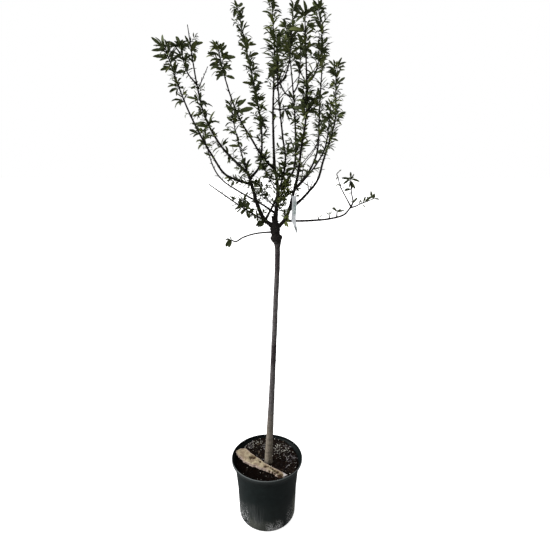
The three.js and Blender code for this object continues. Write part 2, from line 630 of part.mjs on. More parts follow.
for (const limb of grown.filter((each) => each.bare > 0)) {
  const name = limb.bare < 1 ? `${limb.name}_bough` : limb.name;
  const wood = cutClear(stretch(limb, 0, limb.bare), cutters);
  model.add(meshOf(name, wood, COLOURS.limb));
  cutters.push(stretch(limb, 0, limb.bare, CUT_CLEAR));
}

for (const limb of grown.filter((each) => each.bare < 1)) {
  const random = seeded(limb.name + (limb.sown ?? ""));
  const stem = cutClear(stretch(limb, limb.bare, 1), cutters);
  const branches = limb.forks.map((fork) => stretch(fork, 0, 1));
  const leaves = [limb, ...limb.forks].flatMap((twig) => leavesOn(limb.name, twig, random));
  const mass = mainBody(wasm.Manifold.union([stem, ...branches, ...leaves]));
  model.add(meshOf(`${limb.name}_leaves`, mass, COLOURS.leaves));
  cutters.push(stretch(limb, limb.bare, 1, CUT_CLEAR));
}

// The tag: a loop round the right limb, a broad blade in front and a narrow tail.
function tag() {
  const limb = limbs.get("right_limb");
  const part = limb.line.findIndex((point) => point.z > TAG_HEIGHT) / (limb.line.length - 1);
  const centre = limb.curve.getPointAt(part);
  const along = limb.curve.getTangentAt(part);
  const inner = limb.radiusAt(part) + TAG_SLACK;
  const outer = inner + TAG_THICKNESS;
  const half = TAG_STRAP / 2;
  const ring = [[inner, -half], [outer, -half], [outer, half], [inner, half], [inner, -half]];
  const band = turned(ring, TAG_SIDES);
  const upright = new THREE.Vector3(0, 0, 1);
  band.applyQuaternion(new THREE.Quaternion().setFromUnitVectors(upright, along));
  band.translate(centre.x, centre.y, centre.z);
  const across = centre.x + TAG_SHIFT;
  const front = centre.y - outer;
  const middle = centre.z - TAG_LENGTH / 2;
  const blade = block(TAG_WIDTH, TAG_THICKNESS, TAG_LENGTH, across, front, middle);
  const tailTop = centre.z - TAG_LENGTH;
  const tail = peg(
    new THREE.Vector3(across, front, tailTop + 4),
    new THREE.Vector3(across + TAG_DRIFT, front, tailTop - TAG_TAIL_LENGTH),
    TAG_TAIL_WIDTH / 2, TAG_TAIL_WIDTH / 3, 4,
  );
  return mainBody(solid(band).add(blade).add(tail));
}
model.add(meshOf("label", tag(), COLOURS.label));

export default model;
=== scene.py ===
"""A young grafted almond tree in a black nursery pot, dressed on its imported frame.

The pot, the soil and its grains, the torn strip of wood, the bark of trunk, limbs and
shoots, the twigs, the leaves and the blank tag are made here. Metres, Z up, origin under
the middle of the pot.
"""

import math
from collections import namedtuple

import bmesh
import bpy
import numpy as np
from bpy.props import FloatProperty, FloatVectorProperty, IntProperty, PointerProperty
from mathutils import Matrix, Vector, noise


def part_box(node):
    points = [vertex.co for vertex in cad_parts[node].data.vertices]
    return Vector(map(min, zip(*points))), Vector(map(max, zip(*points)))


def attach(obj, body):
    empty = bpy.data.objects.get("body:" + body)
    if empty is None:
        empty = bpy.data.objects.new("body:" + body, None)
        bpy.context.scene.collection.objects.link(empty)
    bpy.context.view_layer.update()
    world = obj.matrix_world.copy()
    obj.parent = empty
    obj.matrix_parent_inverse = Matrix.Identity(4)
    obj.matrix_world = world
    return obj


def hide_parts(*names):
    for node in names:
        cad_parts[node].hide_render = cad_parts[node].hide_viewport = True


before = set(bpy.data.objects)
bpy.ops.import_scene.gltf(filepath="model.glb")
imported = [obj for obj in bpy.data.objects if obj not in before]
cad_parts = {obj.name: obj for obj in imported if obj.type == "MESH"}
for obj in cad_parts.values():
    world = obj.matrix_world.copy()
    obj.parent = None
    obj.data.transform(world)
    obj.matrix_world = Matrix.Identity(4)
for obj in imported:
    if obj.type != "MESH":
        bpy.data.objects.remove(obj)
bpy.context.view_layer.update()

bl_info = {
    "name": "Potted almond tree",
    "version": (1, 0, 0),
    "blender": (4, 5, 0),
    "location": "3D View > Sidebar > Almond",
    "description": "Pot, soil, bark, leaves and tag of a young almond tree",
    "category": "Add Mesh",
}

# Sizes read from the frame
_, POT_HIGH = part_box("pot")
RIM_RADIUS = POT_HIGH.x
RIM_HEIGHT = POT_HIGH.z
STRIP_LOW, STRIP_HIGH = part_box("wood_slab")
TAG_LOW, TAG_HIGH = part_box("label")
MASSES = sorted(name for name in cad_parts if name.endswith("_leaves"))
BOUGHS = sorted(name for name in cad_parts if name.endswith("_bough"))
MAIN_LIMBS = ["left_limb", "centre_limb", "right_limb", "arm"]

# Pot
LIP_HEIGHT = 0.010
FLARE_HEIGHT = 0.019
SHOULDER_RADIUS = 0.138
NECK_INSET, NECK_DROP = 0.0035, 0.014
WAIST_RADIUS, WAIST_HEIGHT = 0.126, 0.150
FOOT_RADIUS = 0.121
FOOT_ROUND = 0.022
WALL = 0.003
FLOOR = 0.004
FLARE_TOP = RIM_HEIGHT - LIP_HEIGHT
FLARE_FOOT = FLARE_TOP - FLARE_HEIGHT
FLARE_INSET, FLARE_DROP = 0.003, 0.004
DRAIN_HOLES, DRAIN_RADIUS, DRAIN_CIRCLE = 6, 0.009, 0.078

# Soil
SOIL_LEVEL = 0.262
SOIL_SLOPE = 0.05
SOIL_SINK = 0.004
SOIL_FLAT = 0.026
SOIL_EDGE = 0.1345
# How much higher the soil lies at the back, and how far it widens with height there
SOIL_HEAP, SOIL_FLARE = 0.011, 4.0

# Strip of wood: its sawn back edge, then its torn front edge
SAWN = [(-0.139, 0.044), (-0.119, 0.060), (-0.095, 0.062), (-0.071, 0.032), (-0.036, -0.001),
        (-0.012, -0.027), (0.017, -0.052), (0.054, -0.078), (0.086, -0.102)]
TORN = [(0.072, -0.111), (0.050, -0.111), (0.038, -0.099), (0.026, -0.087), (0.008, -0.079),
        (-0.010, -0.067), (-0.029, -0.061), (-0.047, -0.047), (-0.067, -0.041), (-0.083, -0.027),
        (-0.098, -0.020), (-0.109, 0.000), (-0.124, 0.015), (-0.134, 0.032)]
STRIP_GRAIN = Vector((0.72, -0.69, 0)).normalized()
# Dark hollows in the strip: place and radius
HOLLOWS = [((-0.0650, 0.0045), 0.0115), ((-0.0550, 0.0025), 0.0105), ((-0.0704, -0.006), 0.0045),
           ((-0.0284, -0.0240), 0.0060), ((-0.0045, -0.0530), 0.0075), ((0.0060, -0.0530), 0.0036),
           ((0.0165, -0.0600), 0.0042), ((0.0259, -0.0700), 0.0052), ((0.0115, -0.0780), 0.0045),
           ((0.0240, -0.0860), 0.0045), ((0.0438, -0.0865), 0.0098), ((0.0330, -0.0780), 0.0065),
           ((0.0575, -0.1050), 0.0110), ((0.0480, -0.1100), 0.0070), ((0.0340, -0.0925), 0.0050),
           ((-0.036, -0.0160), 0.0022)]
# How deep the hollows are, and how ragged the torn edge is
HOLLOW_DEPTH, TORN_DEPTH = 0.0045, 0.0035

# Trunk: centre line, then radius by height
TRUNK_WAY = [(.005, -.004, .254), (.015, .004, .454), (.027, .011, .729), (.037, .014, .985),
             (.043, .014, 1.137), (.043, .014, 1.19), (.0385, .014, 1.231), (.0355, .014, 1.252),
             (.035, .014, 1.286)]
TRUNK_GIRTH = [(.254, .0175), (.275, .0164), (.335, .0152), (.41, .0141), (.52, .0122), (.69, .0107),
               (.85, .0099), (1., .0096), (1.15, .0098), (1.194, .0100), (1.206, .0112), (1.213, .0130),
               (1.219, .0166), (1.226, .0184), (1.236, .0182), (1.242, .0150), (1.248, .0156),
               (1.257, .0162), (1.268, .0160), (1.279, .0146), (1.286, .0122)]
# Lumps and dents on the graft knob: place, radius and how far it stands out
KNOB_LUMPS = [((.0205, .006, 1.2245), .012, .0038), ((.0570, .006, 1.2325), .012, .0042),
              ((.0550, .010, 1.2090), .012, .0034), ((.0330, -.006, 1.229), .009, .0024),
              ((.0480, -.004, 1.226), .008, .0020), ((.0410, -.004, 1.2415), .010, -.0022),
              ((.040, .034, 1.228), .015, .003), ((.0170, .012, 1.263), .010, .0040),
              ((.0540, .012, 1.262), .009, .0024)]
# Small bumps of old buds on the trunk: place, radius and height
BUDS = [((.0110, -.001, .572), .0035, .0026), ((.0325, .001, .592), .003, .0022),
        ((.0445, .002, 1.036), .003, .0020), ((.0200, .006, .893), .003, .0018),
        ((.0405, .003, .905), .003, .0020), ((.0165, .004, .745), .003, .0016)]
# Heights of the rings round the trunk
RINGS = np.array([.315, .352, .378, .432, .492, .545, .61, .668, .73, .792, .84, .895, .95, 1.018, 1.066,
                  1.112, 1.165])
STUB_FOOT, STUB_TIP, STUB_RADIUS = (.031, .013, 1.268), (.025, .011, 1.311), .0052
# Graft knob: the height of its middle, half its own height, and how rough it is
KNOB_MIDDLE, KNOB_HALF, KNOB_ROUGH = 1.236, 0.036, 0.0032
# Root flare: its height above the soil, and how far its ribs stand out
ROOT_FLARE, ROOT_RIBS = 0.035, 0.0022
# How far leaves and loose bits stay from the trunk's centre line
TRUNK_REACH = 0.020

# Centre lines: how many points stand for each stretch between two given ones, the step that the
# direction is read over, and the step between the points in the test of own space
CURVE_STEPS, HEADING_STEP, SPACE_STEP = 48, 0.002, 0.012

# Twigs and leaves
LEAF_LENGTH = 0.047
# The turn from one spray to the next, and how much it varies
TURN, TURN_SPREAD = 2.4, 0.5
# How far a spray leans along its shoot, the same at the tip, and the size of a leaf as a share of
# LEAF_LENGTH, each as the least and how much may be added
RISE = (0.3, 0.6)
TIP_RISE = (0.7, 0.4)
SIZE = (0.7, 0.5)
TIP_LEAVES = 3
TIP_BACK = 0.003
# How much nearer a leaf is to its own wood than to that of others, and how far from bare wood
OWN_SPACE = 0.004
LIMB_SPACE = 0.001
# How far leaves stay from the tag
TAG_SPACE = 0.004
LEAF_ROLL = 1.3
# How much thicker a shoot's bark is than its bare line in the solids
TWIG_BARK = 0.0003
# Radii of a spur and of a dry twiglet at foot and tip, and of a side twig at foot, bend and tip
SPUR_RADII, PEG_RADII = (0.0012, 0.0008), (0.0014, 0.0008)
TWIG_RADII = (0.0012, 0.0009, 0.0006)
CONE_SIDES = 4
# A leaf: share of its length, and its half width there as a share of the greatest
BLADE = [(0.09, 0.18), (0.28, 0.78), (0.60, 1.0), (0.87, 0.60)]
# How far its halves fold up, and half its thickness in the middle
LEAF_FOLD, LEAF_THICK = 0.35, 0.00035
# Share of the sprays that grow on as a side twig, the gap between the leaves on the shoot
# as a share of that between its sprays, and the size of the leaves on bare wood
SIDE_TWIGS = 0.2
SINGLE_GAP = 0.42
SPRIG_LEAF = 0.55
# Short dry twiglets along the wood of the crown: the gap between them, and their length
PEG_GAP, PEG_LENGTH = 0.017, 0.015
# The low shoots, which have none
LOW_SHOOTS = ("arm", "whip")
# The owner of sprigs and of single large leaves, which belong to no leafy stretch
LOOSE = "loose"
# Share of a shoot's places that are left without a spray
BARE_PLACES = 0.2
# How much broader than the others the leaves are that stand out on some shoots
BROAD_LEAVES = {"left_bare": 1.25, "whip": 1.4, "left_base_spray": 1.6, "right_limb": 1.15}
# Single leaves that stand out in the photograph, by shoot: the share of its length where each
# sits, its direction as three numbers, its length, and the number of its colour
LARGE_LEAVES = [
    ("mid_left", [(0.59, 0.9, -0.1, 0.25, .060, 1), (0.62, 0.8, -0.2, 0.6, .050, 1),
        (0.95, 0.95, 0, 0.1, .052, 1)]),
    ("mid_left_tall", [(0.46, 0.8, -0.2, -0.35, .050, 1)]),
    ("mid_left", [(0.97, -0.9, -0.1, 0.15, .040, 0), (0.93, -0.9, -0.1, -0.3, .042, 0),
        (0.92, 0.8, -0.2, -0.45, .044, 0), (0.98, 0.7, -0.1, 0.6, .032, 0),
        (0.88, -0.5, -0.2, -0.8, .038, 0), (0.89, 0.5, -0.2, -0.7, .038, 0),
        (0.84, 0.9, -0.1, -0.15, .040, 1), (0.84, -0.9, 0, 0.1, .030, 0)]),
    ("mid_left_tall", [(0.45, -0.9, -0.2, 0.3, .045, 1)]),
    ("left_outer", [(1.0, -0.35, 0.2, 1, .050, 1), (0.99, -1, 0.1, 0.05, .046, 1),
        (0.96, -1, 0.1, 0, .048, 1), (0.90, -0.9, -0.1, -0.3, .042, 1)]),
    ("left_main", [(0.88, 0.95, -0.2, 0.15, .052, 1), (0.87, -1, -0.1, 0.2, .048, 1)]),
    ("right_limb", [(0.30, 0.3, -0.6, -0.9, .034, 3), (0.31, -0.05, -0.6, -0.9, .030, 3),
        (0.36, 0.5, -0.5, -0.8, .026, 3)]),
    ("left_base_spray", [(0.1, -1, -0.4, -0.35, .044, 0), (0.2, -1, -0.5, -0.15, .036, 1),
        (0.5, -1, -0.6, -0.5, .038, 0), (0.7, -0.9, -0.9, -0.3, .034, 0),
        (0.4, -0.7, -0.5, -0.8, .028, 0), (0.9, -1, -0.9, -0.1, .030, 0)]),
    ("left_bare", [(0.41, -0.42, -0.3, 0.9, .037, 0), (0.40, 0.8, -0.2, 0.6, .035, 0),
        (0.42, -1, -0.2, -0.05, .030, 0), (0.39, 0.2, -0.3, 1, .038, 0), (0.43, -0.15, -0.4, 1, .040, 0),
        (0.34, 0.15, -0.3, -1, .032, 0), (0.37, -0.5, -0.4, -0.7, .026, 0),
        (0.22, 0.3, -0.2, -0.9, .020, 0), (0.38, 0.9, -0.4, 0.25, .034, 1),
        (0.41, -0.8, -0.5, 0.5, .034, 1), (0.36, 0.6, -0.5, 0.9, .030, 0),
        (0.30, 0.7, -0.3, 0.5, .028, 0), (0.29, -0.2, -0.4, -1, .026, 1),
        (0.24, -0.5, -0.4, 0.8, .026, 0), (0.16, 0.1, -0.5, -0.9, .022, 0),
        (0.14, -0.3, -0.3, 1, .024, 1)]),
    ("whip", [(1.0, -0.6, -0.1, -0.8, .034, 0), (0.98, -0.4, -0.4, -0.9, .030, 1),
        (0.99, -0.78, 0.2, -0.6, .030, 0), (1.0, -1, 0, 0.3, .022, 0), (0.99, -0.2, -0.2, 1, .014, 0),
        (0.97, -0.5, -0.7, -0.7, .028, 0), (0.98, -0.9, -0.5, 0, .020, 1)]),
    ("arm_upper", [(0.86, -1, -0.2, 0.18, .038, 0), (0.86, -0.9, 0.3, -0.47, .034, 0),
        (0.88, -0.12, -0.3, 1, .026, 0), (0.87, 0.63, 0.3, 0.77, .025, 0), (0.86, 1, -0.1, -0.1, .036, 0),
        (0.83, 0.43, -0.2, -0.9, .036, 0), (0.83, -0.17, 0.2, -1, .027, 0), (0.80, 0.3, 0.3, -1, .030, 0),
        (0.86, 0.5, -0.6, 0.5, .018, 0), (0.86, -0.5, -0.6, 0.4, .018, 0),
        (0.85, 0.2, -0.9, -0.3, .018, 0), (0.87, 0.2, 0.6, 0.6, .018, 0), (0.56, -1, -0.2, 0.05, .030, 0),
        (0.55, -0.9, 0.3, -0.12, .026, 0), (0.47, -0.6, 0.2, -0.6, .014, 1),
        (0.14, -0.6, 0.1, 0.5, .011, 0), (0.10, 0.54, -0.1, 0.84, .030, 0)]),
    ("arm_inner", [(0.62, -0.7, -0.1, 0.5, .014, 1), (0.68, -0.9, 0, -0.4, .016, 1),
        (0.55, 0.6, 0, 0.3, .012, 0), (0.99, 0.5, 0, 0.5, .014, 0), (0.86, -0.5, 0.1, -0.8, .014, 0)]),
    ("arm_outer", [(0.40, 0.1, -0.2, 1, .018, 1), (0.52, -0.5, 0.1, 0.8, .017, 0),
        (0.56, 0.4, 0.2, 1, .026, 0), (0.62, 0.8, -0.1, 0.9, .036, 0), (0.68, 0.6, -0.3, 1, .028, 0),
        (0.74, 1, 0.2, 0.2, .020, 0), (0.80, -0.4, 0.1, 1, .018, 0), (0.95, -0.2, 0.1, 1, .032, 0),
        (0.97, 0.15, -0.3, 1, .028, 0), (1.0, 0.95, 0, 0.1, .024, 0), (0.98, 0.7, 0.3, 0.8, .020, 0)]),
    ("arm_sprig_1", [(0.9, -0.5, 0, 0.9, .013, 1), (1.0, 0.75, 0.1, 0.6, .017, 1)]),
    ("arm_sprig_2", [(0.9, -0.7, 0, 0.7, .019, 1), (1.0, -0.2, 0.1, 1, .017, 1),
        (0.9, 0.5, -0.1, 0.9, .019, 1)]),
    ("arm_sprig_3", [(1.0, -0.72, 0, 0.7, .028, 0), (0.95, -0.6, 0.2, 0.9, .024, 0),
        (0.9, 0.9, 0, 0.3, .029, 0), (1.0, 0.7, 0.2, 0.6, .018, 0), (0.95, 0.9, -0.4, 0.45, .026, 0),
        (1.0, 0, -0.3, 1, .012, 0)]),
]

# Each shoot: name, the limb it springs from, radius at foot and tip, the bare fraction of
# its length, its leafy stretches as (start, end, gap, how leafy), the points it passes
# through, the start of its random numbers, how large its leaves are, how far they bend
# down, which leaf colours it has, and stretches with small sprigs as (start, end, gap).
Shoot = namedtuple("Shoot", "name host radius bare tufts way sown leaf droop tints sprigs",
                   defaults=("", 1.0, 1.0, "mixed", ()))
SHOOTS = [
    Shoot("left_limb", "trunk", (.0075, .0046), 1, [],
          [(.025, .012, 1.269), (-.004, .008, 1.298), (-.029, .002, 1.352), (-.046, -.004, 1.413),
           (-.061, -.008, 1.464)], sprigs=[(0.3, 0.5, .012), (0.5, 1, .007)]),
    Shoot("centre_limb", "trunk", (.008, .0042), 1, [],
          [(.038, .015, 1.27), (.038, .02, 1.325), (.044, .024, 1.386), (.042, .028, 1.432),
           (.032, .032, 1.485)], tints="young", sprigs=[(0.3, 1, .008)]),
    Shoot("right_limb", "trunk", (.007, .0042), 1, [],
          [(.046, .014, 1.264), (.068, .014, 1.294), (.087, .014, 1.336), (.097, .015, 1.377),
           (.106, .016, 1.413)], tints="olive", sprigs=[(0.35, 0.55, .014), (0.8, 1, .012)]),
    Shoot("arm", "right_limb", (.0038, .0026), 1, [],
          [(.068, .014, 1.294), (.114, .024, 1.291), (.173, .01, 1.295), (.237, -.005, 1.304),
           (.283, -.02, 1.321), (.304, -.028, 1.349)]),
    Shoot("whip", "trunk", (.0028, .0022), 0.93, [],
          [(.038, .013, 1.252), (-.036, -.005, 1.249), (-.083, -.02, 1.237), (-.108, -.03, 1.224),
           (-.125, -.04, 1.232)], leaf=0.9, tints="deep"),
    Shoot("left_bare", "left_limb", (.0032, .0012), 0.2, [(0.20, 0.46, .014, 0.6)],
          [(.001, .008, 1.291), (-.043, -.004, 1.319), (-.084, -.016, 1.346), (-.195, -.05, 1.429)],
          leaf=0.7, tints="deep", sprigs=[(0.06, 0.30, .006), (0.44, 0.62, .016)]),
    Shoot("left_low", "centre_limb", (.0032, .0012), 0.62, [(0.82, 1, .020, 0.4)],
          [(.038, .02, 1.319), (-.026, .03, 1.359), (-.097, .045, 1.396), (-.16, .06, 1.437),
           (-.192, .075, 1.479), (-.232, .105, 1.605)]),
    Shoot("left_outer", "left_limb", (.0038, .0013), 0.28,
          [(0.3, 0.44, .02, 0.6), (0.44, 0.62, .026, 0.5), (0.69, 0.78, .02, 1), (0.78, 1, .012, 1.2)],
          [(-.05, -.005, 1.426), (-.105, -.015, 1.443), (-.143, -.025, 1.464), (-.179, -.035, 1.52),
           (-.224, -.05, 1.605), (-.261, -.065, 1.694), (-.309, -.085, 1.848)], droop=1.5,
          sprigs=[(0, 0.14, .006)]),
    Shoot("left_main", "left_limb", (.0042, .0011), 0,
          [(0.12, 0.36, .022, 0.8), (0.37, 0.56, .013, 0.9), (0.6, 0.64, .016, 1), (0.77, 0.91, .012, 1.3)],
          [(-.061, -.008, 1.464), (-.119, .015, 1.516), (-.161, .035, 1.561), (-.216, .065, 1.658),
           (-.244, .09, 1.767), (-.275, .13, 1.97)], droop=1.7, sprigs=[(0, 0.12, .012)]),
    Shoot("left_inner", "left_limb", (.0024, .0011), 0,
          [(0.1, 0.2, .016, 1.4), (0.35, 0.76, .02, 1.2), (0.76, 1, .011, 1.1)],
          [(-.058, -.007, 1.454), (-.075, -.03, 1.51), (-.099, -.085, 1.62), (-.105, -.11, 1.682)],
          "2", leaf=0.85),
    Shoot("mid_left", "centre_limb", (.0036, .0012), 0,
          [(0.07, 0.17, .011, 1.4), (0.37, 0.46, .022, 1.2), (0.49, 0.66, .013, 1.2), (0.86, 1, .010, 1.1)],
          [(.033, .032, 1.474), (-.008, -.01, 1.518), (-.042, -.06, 1.574), (-.082, -.11, 1.644),
           (-.114, -.15, 1.738), (-.131, -.185, 1.822)], leaf=0.9, droop=1.3),
    Shoot("mid_left_tall", "left_limb", (.0036, .0011), 0.18,
          [(0.24, 0.36, .024, 1.6), (0.36, 0.6, .016, 1.9), (0.6, 1, .013, 1.1)],
          [(-.055, -.006, 1.445), (-.023, .03, 1.485), (-.015, .06, 1.535), (-.016, .1, 1.622),
           (-.036, .145, 1.741), (-.059, .18, 1.846), (-.104, .22, 2.049)], sprigs=[(0.05, 0.24, .02)]),
    Shoot("centre", "centre_limb", (.0041, .0011), 0.27, [(0.29, 0.36, .024, 1.2), (0.49, 1, .013, 0.85)],
          [(.032, .032, 1.485), (.029, .04, 1.568), (.027, .05, 1.665), (.029, .058, 1.753),
           (.032, .066, 1.859), (.024, .075, 2.018)], tints="olive"),
    Shoot("centre_front", "left_limb", (.0036, .0012), 0.28, [(0.3, 0.46, .012, 2), (0.84, 1, .01, 1)],
          [(0, .008, 1.297), (.027, -.015, 1.353), (.048, -.04, 1.409), (.069, -.08, 1.504),
           (.058, -.115, 1.588), (.041, -.175, 1.755), (.043, -.2, 1.843)],
          sprigs=[(0.1, 0.3, .018), (0.46, 0.56, .018)]),
    Shoot("centre_right", "centre_limb", (.004, .0011), 0.15,
          [(0.17, 0.33, .015, 1.4), (0.43, 0.59, .015, 1.0), (0.78, 1, .01, 1.1)],
          [(.043, .026, 1.409), (.078, .05, 1.438), (.103, .075, 1.473), (.111, .1, 1.527),
           (.11, .14, 1.636), (.102, .18, 1.763), (.079, .235, 1.986)], tints="deep"),
    Shoot("right_inner", "right_limb", (.0041, .0012), 0.22,
          [(0.25, 0.48, .015, 1.4), (0.5, 0.68, .012, 1.1), (0.79, 1, .012, 1.1)],
          [(.106, .016, 1.413), (.114, .002, 1.452), (.123, -.03, 1.536), (.137, -.09, 1.672),
           (.133, -.115, 1.74), (.121, -.16, 1.916)], tints="olive", sprigs=[(0.02, 0.25, .011)]),
    Shoot("right_tall", "right_limb", (.0036, .0011), 0.33,
          [(0.35, 0.48, .015, 1.4), (0.5, 0.64, .014, 0.9), (0.70, 1, .012, 1.1)],
          [(.105, .016, 1.407), (.13, .045, 1.432), (.167, .075, 1.48), (.191, .1, 1.538),
           (.2, .14, 1.706), (.207, .165, 1.913), (.192, .175, 2.029)], sprigs=[(0.1, 0.35, .015)]),
    Shoot("right_second", "centre_limb", (.0032, .0012), 0.56, [(0.6, 1, .013, 0.9)],
          [(.043, .023, 1.366), (.088, 0, 1.394), (.127, -.025, 1.432), (.197, -.075, 1.54),
           (.21, -.12, 1.678)], leaf=0.85, sprigs=[(0.3, 0.6, .02)]),
    Shoot("right_outer", "right_limb", (.0044, .0012), 0.47, [(0.49, 0.7, .011, 1.1), (0.7, 1, .011, 1)],
          [(.086, .014, 1.334), (.115, .02, 1.356), (.155, .028, 1.395), (.189, .034, 1.439),
           (.206, .038, 1.499), (.247, .048, 1.646), (.247, .055, 1.739), (.245, .06, 1.816)],
          leaf=0.9, tints="olive"),
    Shoot("arm_inner", "arm", (.0019, .0011), 0, [(0.4, 0.7, .03, 0.4)],
          [(.302, -.028, 1.351), (.279, -.04, 1.39), (.261, -.05, 1.42), (.248, -.058, 1.457),
           (.245, -.058, 1.463), (.251, -.06, 1.471)], leaf=0.4),
    Shoot("arm_upper", "arm", (.0022, .0013), 0, [(0.8, 0.9, .014, 0.4)],
          [(.303, -.028, 1.35), (.311, -.024, 1.365), (.306, -.014, 1.398), (.304, -.008, 1.428),
           (.302, -.004, 1.460)], leaf=0.6, droop=1.8),
    Shoot("arm_outer", "arm", (.0020, .0012), 0, [(0.5, 0.9, .02, 0.5)],
          [(.302, -.027, 1.345), (.319, -.026, 1.35), (.336, -.024, 1.358), (.352, -.022, 1.364),
           (.384, -.02, 1.376)], leaf=0.5),
    Shoot("arm_sprig_1", "arm", (.0018, .0013), 0, [], [(.192, .003, 1.298), (.193, 0, 1.307)]),
    Shoot("arm_sprig_2", "arm", (.0018, .0013), 0, [], [(.231, -.006, 1.304), (.231, -.008, 1.318)]),
    Shoot("arm_sprig_3", "arm", (.0020, .0014), 0, [], [(.257, -.012, 1.31), (.258, -.01, 1.329)]),
    Shoot("left_base_spray", "left_limb", (.0017, .0012), 0, [(0.2, 0.9, .006, 0.5)],
          [(0, .008, 1.294), (-.008, 0, 1.291), (-.014, -.004, 1.289)], leaf=0.5, tints="deep"),
    Shoot("right_base_spray", "right_limb", (.0017, .0012), 0, [(0.3, 1, .006, 1.4)],
          [(.068, .014, 1.293), (.07, -.002, 1.313), (.068, -.012, 1.331)], leaf=0.62, tints="young"),
    Shoot("centre_spray", "centre_limb", (.0018, .0012), 0, [(0.4, 1, .008, 1.3)],
          [(.043, .024, 1.38), (.056, .004, 1.402), (.068, -.014, 1.426)], tints="young"),
    Shoot("inner_twig", "centre_limb", (.0018, .0011), 0, [(0.35, 1, .012, 1.8)],
          [(.043, .027, 1.419), (.013, .005, 1.446), (-.003, -.015, 1.479)], leaf=0.8),
    Shoot("low_twig", "centre_limb", (.0017, .0011), 0, [(0.4, 1, .013, 1.6)],
          [(.039, .021, 1.338), (.01, .042, 1.366), (-.028, .062, 1.424)], leaf=0.8),
]
